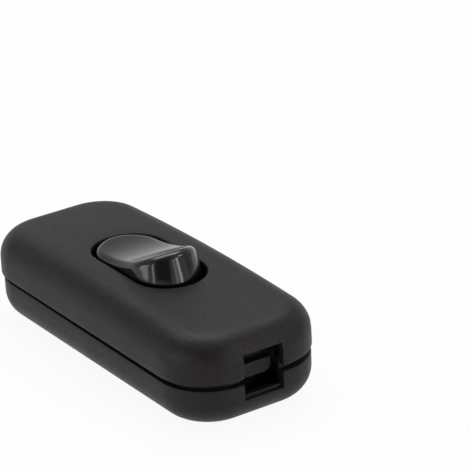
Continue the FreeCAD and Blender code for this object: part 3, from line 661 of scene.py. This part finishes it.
# %% Lower shell: bosses, ribs and screw ways
def saddle(x):
    """A rib across the switch with a groove that the cord lies in."""
    made = block((x - RIB / 2, -SADDLE_HALF, RIB_ROOT), (x + RIB / 2, SADDLE_HALF, SADDLE_TOP))
    groove = rod((x - OVERSHOOT, 0, CORD_AXIS), (x + OVERSHOOT, 0, CORD_AXIS), GROOVE_RADIUS,
                 sides=64)
    combine(made, [groove], "DIFFERENCE")
    return made


def add_lower_details():
    additions, cuts = [], []
    for end in (1, -1):
        additions += [saddle(CLAMP_X * end + SADDLE_STEP * step) for step in (-1, 1)]
        for side in (-1, 1):
            x, y = CLAMP_X * end, CLAMP_Y * side
            additions.append(rod((x, y, RIB_ROOT), (x, y, CLAMP_SEAT), CLAMP_BOSS))
            cuts.append(rod((x, y, CLAMP_PILOT_BOTTOM), (x, y, CLAMP_SEAT + OVERSHOOT),
                            CLAMP_PILOT, sides=32))
            x, y = TERMINAL_X * end, SIDE_WALL_Y * side
            additions.append(block((x - SIDE_WALL_HALF, y - RIB / 2, RIB_ROOT),
                                   (x + SIDE_WALL_HALF, y + RIB / 2, SIDE_WALL_TOP)))
        x, y = SCREW_X * end, SCREW_Y * end
        additions.append(rod((x, y, RIB_ROOT), (x, y, BOSS_JOINT), SCREW_BOSS))
        cuts.append(rod((x, y, -OVERSHOOT), (x, y, SCREW_SEAT), COUNTERBORE, sides=64))
        cuts.append(rod((x, y, -OVERSHOOT), (x, y, BOSS_JOINT + OVERSHOOT), SCREW_WAY, sides=32))
        additions.append(block((FENCE_X * end - RIB / 2, FENCE_RIGHT, RIB_ROOT),
                               (FENCE_X * end + RIB / 2, FENCE_LEFT, FENCE_TOP)))
    for back, front, right, left, top in FLOOR_PRISMS.values():
        additions.append(block((back, right, RIB_ROOT), (front, left, top)))
    join_and_cut(lower_housing, additions, cuts)


add_lower_details()
print("Lower shell:", len(lower_housing.data.polygons), "faces")

# %% [markdown]
# ## The rocker
# The finger piece is a stadium with walls that lean in and a top that is dished like a shallow
# trough across the switch, so that one end always stands up. It is moulded in a harder, polished
# grade. It is built level about its own pivot and then tipped, as it lies at rest.

# %% Rocker: sizes and rings
TILT, TAPER = math.radians(11.9), math.radians(9.0)
ROCKER_CENTRE, ROCKER_REACH, ROCKER_WALL = 4.64, 5.68, 1.5
TAPER_FOOT, SKIRT = 1.8, 0.8
DISH_RADIUS, DISH_BOTTOM, CEILING_DEPTH = 29.5, 4.4, 2.0
ROCKER_ROUND, ROCKER_ROUND_STEPS = 1.15, 10
END_STEPS, STRAIGHT_STEPS = 28, 6
TOP_SHARES = (0.85, 0.68, 0.5, 0.33, 0.16, 0.0)


def dish_height(x):
    return DISH_BOTTOM + DISH_RADIUS - math.sqrt(DISH_RADIUS ** 2 - x ** 2)


def rocker_stations():
    half = [math.pi * step / END_STEPS for step in range(END_STEPS + 1)]
    right = [(ROCKER_CENTRE, 0.0, turn - math.pi / 2) for turn in half]
    left = [(-ROCKER_CENTRE, 0.0, turn + math.pi / 2) for turn in half]
    places = [ROCKER_CENTRE * step / STRAIGHT_STEPS
              for step in range(STRAIGHT_STEPS - 1, -STRAIGHT_STEPS, -1)]
    top = [(place, 0.0, math.pi / 2) for place in places]
    bottom = [(-place, 0.0, math.pi * 1.5) for place in places]
    return right + top + left + bottom


def rocker_rings():
    outline = rocker_stations()
    rounds = [rounded_section(station, ROCKER_REACH, TAPER_FOOT, TAPER, ROCKER_ROUND, dish_height,
                              ROCKER_ROUND_STEPS)[0] for station in outline]
    inside = ROCKER_REACH - ROCKER_WALL
    rings = [[place_at(station, reach, height) for station in outline]
             for reach, height in ((inside, DISH_BOTTOM - CEILING_DEPTH), (inside, -SKIRT),
                                   (ROCKER_REACH, -SKIRT), (ROCKER_REACH, TAPER_FOOT))]
    for share in (0.35, 0.7):
        rings.append([place_at(station, ROCKER_REACH + (points[0][0] - ROCKER_REACH) * share,
                               TAPER_FOOT + (points[0][1] - TAPER_FOOT) * share)
                      for station, points in zip(outline, rounds)])
    for step in range(ROCKER_ROUND_STEPS + 1):
        rings.append([place_at(station, *points[step])
                      for station, points in zip(outline, rounds)])
    for share in TOP_SHARES:
        places = [place_at(station, points[-1][0] * share, 0.0)
                  for station, points in zip(outline, rounds)]
        rings.append([(x, y, dish_height(x)) for x, y, _ in places])
    return rings


# %% Rocker: skin, leg, ribs and trunnions
LEG_RADIUS, LEG_BOTTOM, LEG_TOP = 2.4, -3.4, 2.8
BORE_RADIUS, BORE_END = 1.35, 2.3
TRUNNION_RADIUS, TRUNNION_END, TRUNNION_ROOT = 1.1, 7.4, 0.2
LONG_RIB, CROSS_RIB = 9.6, 4.9
MERGED = 0.001 * MM
TIPPED = Matrix.Translation((0, 0, PIVOT * MM)) @ Matrix.Rotation(-TILT, 4, "Y")


def make_rocker():
    """The last ring lies flat on the rocker's middle line, so its points are merged in pairs."""
    builder, _ = skin_from_rings(rocker_rings(), caps=(0,))
    bmesh.ops.remove_doubles(builder, verts=builder.verts, dist=MERGED)
    made = finished_object("dished_rocker", builder)
    additions = [rod((0, 0, LEG_BOTTOM), (0, 0, LEG_TOP), LEG_RADIUS)]
    additions += [block((-x, -y, 0.0), (x, y, LEG_TOP))
                  for x, y in ((LONG_RIB, RIB / 2), (RIB / 2, CROSS_RIB))]
    root = ROCKER_REACH - ROCKER_WALL - TRUNNION_ROOT
    additions += [rod((0, root * side, 0), (0, TRUNNION_END * side, 0), TRUNNION_RADIUS)
                  for side in (1, -1)]
    combine(made, additions, "UNION")
    bore = rod((0, 0, LEG_BOTTOM - OVERSHOOT), (0, 0, BORE_END), BORE_RADIUS)
    combine(made, [bore], "DIFFERENCE")
    made.data.transform(TIPPED)
    smooth_shading(made)
    return made


dished_rocker = make_rocker()
print("Rocker:", len(dished_rocker.data.polygons), "faces")

# %% [markdown]
# ## Housing plastic: textured ABS
# The shells are black ABS from a spark-eroded mould. The mould's fine pits give an even satin
# that scatters the light, with no mirror image anywhere. The pits are about 0.05 mm across,
# too fine to show here, so they are drawn at 0.3 mm: each one shades a little of the reflection.
# A slower noise varies the gloss a little, as handling and flow do.

# %% Textured ABS
PIT_MM, FLOW_MM = 0.3, 9.0
GRAIN_LOW, GRAIN_HIGH = 0.3, 0.7


def textured_abs():
    made, tree = new_material("black_abs_spark_eroded")
    place = add_node(tree, "ShaderNodeTexCoord").outputs["Object"]
    pits = add_node(tree, "ShaderNodeTexNoise", {"Vector": place, "Detail": 3.0, "Roughness": 0.6,
                                                 "Scale": grains_per_metre(PIT_MM)})
    flow = add_node(tree, "ShaderNodeTexNoise", {"Vector": place, "Detail": 2.0,
                                                 "Scale": grains_per_metre(FLOW_MM)})
    gloss = add_node(tree, "ShaderNodeMapRange", {"Value": flow, "From Min": GRAIN_LOW,
                                                  "From Max": GRAIN_HIGH, "To Min": 0.45,
                                                  "To Max": 0.52})
    tone = add_node(tree, "ShaderNodeMix", {0: pits, 6: linear("#181416"), 7: linear("#1d181b")},
                    data_type="RGBA")
    glint = add_node(tree, "ShaderNodeMapRange", {"Value": pits, "From Min": 0.35,
                                                  "From Max": 0.65, "To Min": 0.17,
                                                  "To Max": 0.27})
    bump = add_node(tree, "ShaderNodeBump", {"Height": pits, "Strength": 0.5,
                                             "Distance": 0.03 * MM})
    shader = add_node(tree, "ShaderNodeBsdfPrincipled",
                      {"Base Color": tone.outputs[2], "Roughness": gloss, "IOR": 1.5,
                       "Specular IOR Level": glint, "Normal": bump})
    add_node(tree, "ShaderNodeOutputMaterial", {"Surface": shader})
    return made


housing_plastic = textured_abs()
print("Made", housing_plastic.name)

# %% [markdown]
# ## Rocker plastic: polished polycarbonate blend
# The finger piece comes from a polished cavity, so it is as smooth as glass and mirrors the
# lamps in long streaks. Only fine hairlines from handling break the gloss, as a slight change in
# roughness. The other finishes have a single grain too, so one recipe makes them all.


# %% A finish with one grain, and the polished rocker plastic
def grained_finish(name, colours, rough, grain, bump, values, stretch=(1.0, 1.0, 1.0)):
    """colours and rough hold one value each, or two that the grain goes between. grain is its
    size in mm and its detail, and bump its strength and its depth in mm."""
    made, tree = new_material(name)
    place = add_node(tree, "ShaderNodeTexCoord").outputs["Object"]
    along = add_node(tree, "ShaderNodeMapping", {"Vector": place, "Scale": stretch})
    noise = add_node(tree, "ShaderNodeTexNoise", {"Vector": along, "Detail": grain[1],
                                                  "Scale": grains_per_metre(grain[0])})
    relief = add_node(tree, "ShaderNodeBump", {"Height": noise, "Strength": bump[0],
                                               "Distance": bump[1] * MM})
    look = {**values, "Base Color": linear(colours[0]), "Roughness": rough[0], "Normal": relief}
    if len(colours) > 1:
        ends = {0: noise, 6: linear(colours[0]), 7: linear(colours[1])}
        look["Base Color"] = add_node(tree, "ShaderNodeMix", ends, data_type="RGBA").outputs[2]
    if len(rough) > 1:
        look["Roughness"] = add_node(tree, "ShaderNodeMapRange",
                                     {"Value": noise, "From Min": GRAIN_LOW, "To Min": rough[0],
                                      "From Max": GRAIN_HIGH, "To Max": rough[1]})
    shader = add_node(tree, "ShaderNodeBsdfPrincipled", look)
    add_node(tree, "ShaderNodeOutputMaterial", {"Surface": shader})
    return made


rocker_plastic = grained_finish("black_polished_plastic", ["#0c0c0d"], [0.1, 0.16], (3.0, 4.0),
                                (0.05, 0.05), {"IOR": 1.48})
print("Made", rocker_plastic.name)

# %% [markdown]
# ## The metals and the plunger
# The strips, terminals and see-saw are stamped or sawn brass with a fine drawn grain. The screws
# are zinc-plated steel, the contact tips silver, and the spring hard-drawn wire. The grain is
# stretched along one direction where the metal was drawn.


# %% Metals
def bare_metal(name, colour, rough, grain_mm, stretch=(1.0, 1.0, 1.0)):
    return grained_finish(name, [colour], rough, (grain_mm, 3.0), (0.15, 0.01),
                          {"Metallic": 1.0}, stretch)


brass = bare_metal("stamped_brass", "#c9a45c", [0.24, 0.36], 0.3, (0.15, 1.0, 1.0))
zinc = bare_metal("zinc_plated_steel", "#b9bcc0", [0.26, 0.38], 0.4)
silver = bare_metal("silver_contact", "#dcdad4", [0.18, 0.28], 0.25)
wire = bare_metal("drawn_spring_wire", "#a3a5a8", [0.22, 0.34], 0.2, (1.0, 1.0, 0.3))
print("Made", brass.name, zinc.name, silver.name, wire.name)

# %% [markdown]
# The plunger is turned from natural acetal, a creamy white plastic with a waxy sheen. A little
# light scatters under its surface, which is what keeps it from looking like paint. The clamps
# are glass-filled nylon, a duller black than the shells with a cloudy skin.

# %% Acetal and glass-filled nylon
acetal = grained_finish("natural_acetal", ["#e4dfd0", "#eeeadf"], [0.35], (1.5, 5.0), (0.2, 0.02),
                        {"IOR": 1.5, "Subsurface Weight": 0.2, "Subsurface Scale": 0.5 * MM})
nylon = grained_finish("glass_filled_nylon", ["#1c1c1d", "#242425"], [0.55], (0.5, 5.0),
                       (0.2, 0.02), {"IOR": 1.5})
print("Made", acetal.name, nylon.name)

# %% [markdown]
# ## Screws and the spring, by Geometry Nodes
# Ten screws of three kinds hold the switch together and one coil spring presses the plunger.
# They repeat, so node trees make them. A small set of nodes winds a wire along a spiral: one tree
# makes the spring of it, and another the thread of a screw, which it joins to a turned blank and
# sets on every seat, each with its cross drive at another angle, as a hand leaves them.

# %% Tree helpers
STEPS_PER_TURN = 28
ROUND_WIRE_SHARP_FROM = 40


def new_tree(name, inputs):
    """A geometry tree with one geometry input and the named inputs, and its group nodes."""
    tree = bpy.data.node_groups.new(name, "GeometryNodeTree")
    tree.interface.new_socket("Geometry", in_out="INPUT", socket_type="NodeSocketGeometry")
    for label, kind in inputs:
        tree.interface.new_socket(label, in_out="INPUT", socket_type="NodeSocket" + kind)
    tree.interface.new_socket("Geometry", in_out="OUTPUT", socket_type="NodeSocketGeometry")
    return tree, add_node(tree, "NodeGroupInput").outputs


def end_tree(tree, geometry, material):
    """Every tree ends the same way: instances made real, then painted."""
    real = add_node(tree, "GeometryNodeRealizeInstances", {0: geometry})
    painted = add_node(tree, "GeometryNodeSetMaterial", {"Geometry": real, "Material": material})
    add_node(tree, "NodeGroupOutput", {0: painted})


def wind_wire(tree, sizes, sides):
    """Nodes that sweep a round section along a spiral of constant radius."""
    path = add_node(tree, "GeometryNodeCurveSpiral",
                    {"Resolution": STEPS_PER_TURN, "Rotations": sizes["Turns"],
                     "Start Radius": sizes["Coil Radius"], "End Radius": sizes["Coil Radius"],
                     "Height": sizes["Coil Height"]})
    section = add_node(tree, "GeometryNodeCurvePrimitiveCircle",
                       {"Resolution": sides, "Radius": sizes["Wire Radius"]})
    return add_node(tree, "GeometryNodeCurveToMesh",
                    {"Curve": path, "Profile Curve": section, "Fill Caps": True})


def grow_from_tree(name, tree, places, values):
    """Runs a tree on an object whose vertices are the given places, and keeps the plain mesh."""
    builder = bmesh.new()
    for place in places:
        builder.verts.new(Vector(place) * MM)
    made = finished_object(name, builder)
    grower = made.modifiers.new("grow", "NODES")
    grower.node_group = tree
    for item in tree.interface.items_tree:
        if item.in_out == "INPUT" and item.name in values:
            grower[item.identifier] = values[item.name]
    settle(made)
    smooth_shading(made, ROUND_WIRE_SHARP_FROM)
    return made


# %% The two trees
COIL_INPUTS = [("Turns", "Float"), ("Coil Radius", "Float"), ("Coil Height", "Float"),
               ("Wire Radius", "Float"), ("Material", "Material")]
SPRING_SIDES, THREAD_SIDES = 10, 6
THREAD_DROP = -1.15


def spring_tree():
    tree, sizes = new_tree("wound_spring", COIL_INPUTS)
    wound = wind_wire(tree, sizes, SPRING_SIDES)
    end_tree(tree, wound, sizes["Material"])
    return tree


def screw_tree():
    more = [("Blank", "Object"), ("Flip", "Float"), ("Seed", "Int")]
    tree, sizes = new_tree("screws_on_seats", COIL_INPUTS + more)
    thread = wind_wire(tree, sizes, THREAD_SIDES)
    drop = add_node(tree, "ShaderNodeMath", {0: sizes["Coil Height"], 1: THREAD_DROP},
                    operation="MULTIPLY")
    offset = add_node(tree, "ShaderNodeCombineXYZ", {"Z": drop})
    lowered = add_node(tree, "GeometryNodeTransform",
                       {"Geometry": thread, "Translation": offset})
    blank = add_node(tree, "GeometryNodeObjectInfo", {"Object": sizes["Blank"]})
    whole = add_node(tree, "GeometryNodeJoinGeometry", {0: lowered})
    tree.links.new(blank.outputs["Geometry"], whole.inputs[0])
    spin = add_node(tree, "FunctionNodeRandomValue",
                    {"Min": 0.0, "Max": math.pi, "Seed": sizes["Seed"]}, data_type="FLOAT")
    turn = add_node(tree, "ShaderNodeCombineXYZ", {"X": sizes["Flip"], "Z": spin.outputs[1]})
    placed = add_node(tree, "GeometryNodeInstanceOnPoints",
                      {"Points": sizes["Geometry"], "Instance": whole, "Rotation": turn})
    end_tree(tree, placed, sizes["Material"])
    return tree


wound_spring, screws_on_seats = spring_tree(), screw_tree()
print("Trees:", wound_spring.name, "and", screws_on_seats.name)

# %% A turned blank with a cross drive
BLANK_SIDES, HEAD_STEPS = 48, 4
HEAD_BEVEL, TIP_BEVEL = 0.3, 0.4
DRIVE_SPAN, DRIVE_SLOT, DRIVE_DEPTH, DRIVE_TOP = 1.3, 0.3, 0.8, 3.0


def screw_blank(head_radius, head_height, radius, length):
    """Turned about Z from the tip up; its head sits on zero and the drive is cut in its top."""
    bevel, tip = head_height * HEAD_BEVEL, radius * TIP_BEVEL
    profile = [(radius - tip, -length), (radius, tip - length), (radius, 0.0), (head_radius, 0.0),
               (head_radius, head_height - bevel)]
    for turn in quarter_turn(HEAD_STEPS)[1:]:
        profile.append((head_radius - bevel * (1 - math.cos(turn)),
                        head_height - bevel * (1 - math.sin(turn))))
    angles = [math.tau * step / BLANK_SIDES for step in range(BLANK_SIDES)]
    rings = [[(r * math.cos(a), r * math.sin(a), z) for a in angles] for r, z in profile]
    made = finished_object("screw_blank", skin_from_rings(rings, caps=(0, -1))[0])
    low = head_height - DRIVE_DEPTH
    drives = [block((-x, -y, low), (x, y, DRIVE_TOP))
              for x, y in ((DRIVE_SPAN, DRIVE_SLOT), (DRIVE_SLOT, DRIVE_SPAN))]
    combine(made, drives, "DIFFERENCE")
    return made


# %% Screws on their seats
THREAD_DEPTH, THREAD_PITCH, THREADED_SHARE, WIRE_SHARE = 0.16, 0.6, 0.8, 0.95


def screw_set(name, seats, head, shank, seed, flip=0.0):
    """head is the head's radius and height, and shank the radius over the thread and length."""
    radius, length = shank
    core, height = radius - THREAD_DEPTH, (length - radius) * THREADED_SHARE
    blank = screw_blank(*head, core, length)
    values = {"Turns": height / THREAD_PITCH, "Coil Radius": core * MM, "Coil Height": height * MM,
              "Wire Radius": THREAD_DEPTH * WIRE_SHARE * MM, "Material": zinc, "Blank": blank,
              "Flip": flip, "Seed": seed}
    made = grow_from_tree(name, screws_on_seats, seats, values)
    bpy.data.objects.remove(blank)
    return made


TERMINAL_TOP, CLAMP_TOP = 8.4, 10.0
THROUGH_X, THROUGH_Y, THROUGH_TOP = 3.6, -8.1, 7.4
terminal_seats = [(TERMINAL_X, 0, TERMINAL_TOP), (-TERMINAL_X, 0, TERMINAL_TOP),
                  (THROUGH_X, THROUGH_Y, THROUGH_TOP), (-THROUGH_X, THROUGH_Y, THROUGH_TOP)]
clamp_seats = [(CLAMP_X * end, CLAMP_Y * side, CLAMP_TOP) for end in (1, -1) for side in (1, -1)]
housing_seats = [(SCREW_X * end, SCREW_Y * end, SCREW_SEAT) for end in (1, -1)]
terminal_screws = screw_set("terminal_screws", terminal_seats, (2.1, 1.3), (1.5, 2.8), seed=4)
clamp_screws = screw_set("clamp_screws", clamp_seats, (2.1, 1.4), (1.25, 6.0), seed=7)
housing_screws = screw_set("housing_screws", housing_seats, (2.5, 1.8), (1.3, 8.2), seed=2,
                           flip=math.pi)
print("Screws:", len(terminal_seats) + len(clamp_seats) + len(housing_seats))

# %% The plunger's spring
SPRING_TURNS, SPRING_RADIUS, SPRING_WIRE = 4.0, 0.95, 0.15
SPRING_LOW, SPRING_HIGH = -1.2, 2.1
spring_values = {"Turns": SPRING_TURNS, "Coil Radius": SPRING_RADIUS * MM,
                 "Coil Height": (SPRING_HIGH - SPRING_LOW) * MM,
                 "Wire Radius": SPRING_WIRE * MM, "Material": wire}
plunger_coil = grow_from_tree("plunger_coil", wound_spring, [(0, 0, 0)], spring_values)
plunger_coil.data.transform(TIPPED @ Matrix.Translation((0, 0, SPRING_LOW * MM)))
print("Spring:", len(plunger_coil.data.polygons), "faces")

# %% [markdown]
# ## Dressing the parts
# Each new piece takes the place of the solid it was drawn from, rides on the same body and takes
# its finish from the same slot of the record. The small solids inside are right as they are and
# only get their material.

# %% Replace, ride and paint
new_pieces = [(upper_housing, ["upper_shell"], "housing", "housing_plastic"),
              (lower_housing, ["lower_shell"], "housing", "housing_plastic"),
              (dished_rocker, ["rocker"], "rocker", "rocker_plastic"),
              (terminal_screws, ["common_terminal_screw", "switched_terminal_screw",
                                 "through_terminal_screw_near", "through_terminal_screw_far"],
               "housing", "zinc_steel"),
              (clamp_screws, ["near_clamp_screw_left", "near_clamp_screw_right",
                              "far_clamp_screw_left", "far_clamp_screw_right"],
               "housing", "zinc_steel"),
              (housing_screws, ["housing_screw_near", "housing_screw_far"],
               "housing", "zinc_steel"),
              (plunger_coil, ["plunger_spring"], "rocker", "spring_steel")]
slot_materials = {"housing_plastic": housing_plastic, "clamp_plastic": nylon,
                  "rocker_plastic": rocker_plastic, "plunger_plastic": acetal,
                  "spring_steel": wire, "contact_silver": silver, "contact_brass": brass,
                  "zinc_steel": zinc}
for piece, nodes, body, slot_name in new_pieces:
    paint(piece, slot_materials[slot_name])
    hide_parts(*nodes)
    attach(piece, body)
for part in frame["record"]["subparts"]:
    paint(frame["nodes"][part["node"]], slot_materials[part["material_slot"]])
print("Dressed", len(frame["nodes"]), "solids")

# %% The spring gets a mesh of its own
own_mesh(plunger_coil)

# %% [markdown]
# ## Floor, light and background
# The photograph is a plain product shot on white. A large soft lamp from above and behind the
# far end lights the top and a weaker one from the left lights the long side, while the near end
# is left darker. The polished rocker is a curved mirror, so it shows where the other lights
# stood: narrow strips left and right of the camera draw its upright streaks, and two cards keep
# the white room out of the dark field between them. The world is white to the camera. A mirror
# sees it white at the horizon and greyer higher up, as in a room above a paper sweep.

# %% Floor
FLOOR_CLEARANCE = 0.02 * MM
FLOOR_WIDTH = 3.0
PAPER_WHITE, FLOOR_GLOW = 0.86, 0.93


def ray_kinds(tree):
    """Two sockets: the camera's own rays, and those off a mirror or through glass."""
    path = add_node(tree, "ShaderNodeLightPath")
    mirrored = add_node(tree, "ShaderNodeMath", {0: path.outputs["Is Glossy Ray"],
                                                 1: path.outputs["Is Transmission Ray"]},
                        operation="MAXIMUM")
    return path.outputs["Is Camera Ray"], mirrored.outputs[0]


def flat_board(name, width, height):
    return basic_shape(name, bmesh.ops.create_grid, x_segments=1, y_segments=1, size=0.5,
                       matrix=Matrix.Diagonal((width, height, 1.0, 1.0)))


def make_floor():
    """White paper that can be looked through from below, so that the underside can be seen."""
    made = flat_board("studio_floor", FLOOR_WIDTH, FLOOR_WIDTH)
    material, tree = new_material("white_paper")
    paper = add_node(tree, "ShaderNodeBsdfDiffuse",
                     {"Color": (PAPER_WHITE, PAPER_WHITE, PAPER_WHITE, 1.0)})
    glow = add_node(tree, "ShaderNodeEmission", {"Strength": 1.0})
    seen, mirrored = ray_kinds(tree)
    looks = add_node(tree, "ShaderNodeMath", {0: seen, 1: mirrored}, operation="MAXIMUM")
    share = add_node(tree, "ShaderNodeMath", {0: looks, 1: FLOOR_GLOW}, operation="MULTIPLY")
    both = add_node(tree, "ShaderNodeMixShader", {0: share, 1: paper, 2: glow})
    below = add_node(tree, "ShaderNodeNewGeometry").outputs["Backfacing"]
    clear = add_node(tree, "ShaderNodeBsdfTransparent")
    sided = add_node(tree, "ShaderNodeMixShader", {0: below, 1: both, 2: clear})
    add_node(tree, "ShaderNodeOutputMaterial", {"Surface": sided})
    paint(made, material)
    made.location = (0.0, 0.0, -FLOOR_CLEARANCE)
    return made


floor = make_floor()
print("Floor at", floor.location.z)

# %% World
WALL_FOOT, WALL_TOP = 0.08, 0.42
WALL_WHITE, CEILING_GREY = 0.8, 0.54
ROOM_LIGHT = 0.28


def make_world():
    world = bpy.data.worlds.new("studio")
    scene.world = world
    world.use_nodes = True
    tree = world.node_tree
    tree.nodes.clear()
    seen, mirrored = ray_kinds(tree)
    place = add_node(tree, "ShaderNodeTexCoord").outputs["Generated"]
    height = add_node(tree, "ShaderNodeSeparateXYZ", {0: place}).outputs["Z"]
    room = add_node(tree, "ShaderNodeMapRange",
                    {"Value": height, "From Min": WALL_FOOT, "From Max": WALL_TOP,
                     "To Min": WALL_WHITE, "To Max": CEILING_GREY},
                    interpolation_type="SMOOTHSTEP")
    light = add_node(tree, "ShaderNodeMapRange", {"Value": mirrored, "To Min": ROOM_LIGHT,
                                                  "To Max": room})
    strength = add_node(tree, "ShaderNodeMapRange", {"Value": seen, "To Min": light,
                                                     "To Max": 1.0})
    white = add_node(tree, "ShaderNodeBackground", {"Color": (1.0, 1.0, 1.0, 1.0),
                                                    "Strength": strength})
    add_node(tree, "ShaderNodeOutputWorld", {"Surface": white})


make_world()
print("World set")

# %% Lamps
SWITCH_MIDDLE = Vector((0.0, 0.0, 0.01))
# azimuth and elevation in degrees, then distance, width and height in metres, and watts
LAMPS = {"overhead": (150, 68, 0.75, 0.7, 0.5, 4.0),
         "left_panel": (-96, 10, 0.7, 0.38, 0.34, 1.1),
         "left_strip": (-64, 13, 0.7, 0.05, 0.34, 0.2),
         "front_strip": (21, 14, 0.7, 0.08, 0.4, 0.6),
         "front_panel": (8, 12, 0.7, 0.12, 0.35, 0.2),
         "right_panel": (44, 36, 0.7, 0.2, 0.2, 0.5)}


def stand_around(made, azimuth, elevation, distance, front):
    """Stands an object off the switch, with its front towards it. The azimuth turns from +X
    towards +Y."""
    turn, rise = math.radians(azimuth), math.radians(elevation)
    flat = distance * math.cos(rise)
    made.location = (flat * math.cos(turn), flat * math.sin(turn), distance * math.sin(rise))
    line = SWITCH_MIDDLE - made.location
    made.rotation_euler = line.to_track_quat(front, "Y").to_euler()


def soft_lamp(name, azimuth, elevation, distance, width, height, power):
    data = bpy.data.lights.new(name, "AREA")
    data.shape = "RECTANGLE"
    data.size, data.size_y = width, height
    data.energy = power
    made = bpy.data.objects.new(name, data)
    scene.collection.objects.link(made)
    stand_around(made, azimuth, elevation, distance, "-Z")


for lamp, numbers in LAMPS.items():
    soft_lamp(lamp, *numbers)

# %% Two cards that the glossy plastic mirrors
CARD_DISTANCE = 0.62


def matt_card(name, azimuth, elevation, width, height, colour):
    """A board that the camera doesn't see; it keeps the white room out of part of a mirror."""
    made = flat_board(name, width, height)
    stand_around(made, azimuth, elevation, CARD_DISTANCE, "Z")
    material, tree = new_material(name + "_felt")
    felt = add_node(tree, "ShaderNodeBsdfDiffuse", {"Color": linear(colour)})
    add_node(tree, "ShaderNodeOutputMaterial", {"Surface": felt})
    paint(made, material)
    made.visible_camera = False
    return made


cards = [matt_card("grey_card", -33, 35, 0.56, 0.7, "#808080"),
         matt_card("pale_card", 66, 14, 0.36, 0.3, "#c8c8c8")]
print("Cards at", [[round(value, 2) for value in card.location] for card in cards])

# %% [markdown]
# ## The camera
# The view was measured from the photograph: 58.5 degrees round from the long side, 25 degrees
# up, about 0.41 m away through a long lens. The object stands low and left in the picture, so
# the lens is shifted by just that much.

# %% Camera
TURN = math.radians(58.50)
RISE = math.radians(25.19)
ROLL = math.radians(-3.52)
DISTANCE = 0.4121
FOCAL_PIXELS, FRAME_PIXELS = 2697.9, 470
CENTRE_PIXELS = (151.35, 305.67)
SENSOR_WIDTH = 36.0
AIM = Vector((0, 0, 7.2 * MM))


def make_camera():
    flat = math.cos(RISE)
    back = Vector((math.sin(TURN) * flat, -math.cos(TURN) * flat, math.sin(RISE)))
    right = Vector((math.cos(TURN), math.sin(TURN), 0))
    up = back.cross(right)
    tipped_right = right * math.cos(ROLL) + up * math.sin(ROLL)
    tipped_up = up * math.cos(ROLL) - right * math.sin(ROLL)
    data = bpy.data.cameras.new("photo_view")
    data.sensor_width = SENSOR_WIDTH
    data.lens = FOCAL_PIXELS / FRAME_PIXELS * data.sensor_width
    data.shift_x = (FRAME_PIXELS / 2 - CENTRE_PIXELS[0]) / FRAME_PIXELS
    data.shift_y = (CENTRE_PIXELS[1] - FRAME_PIXELS / 2) / FRAME_PIXELS
    made = bpy.data.objects.new("photo_view", data)
    scene.collection.objects.link(made)
    turned = Matrix((tipped_right, tipped_up, back)).transposed().to_4x4()
    made.matrix_world = Matrix.Translation(AIM + back * DISTANCE) @ turned
    return made


scene.camera = make_camera()
scene.view_settings.view_transform = "Standard"
print("Camera at", [round(value, 3) for value in scene.camera.matrix_world.translation])
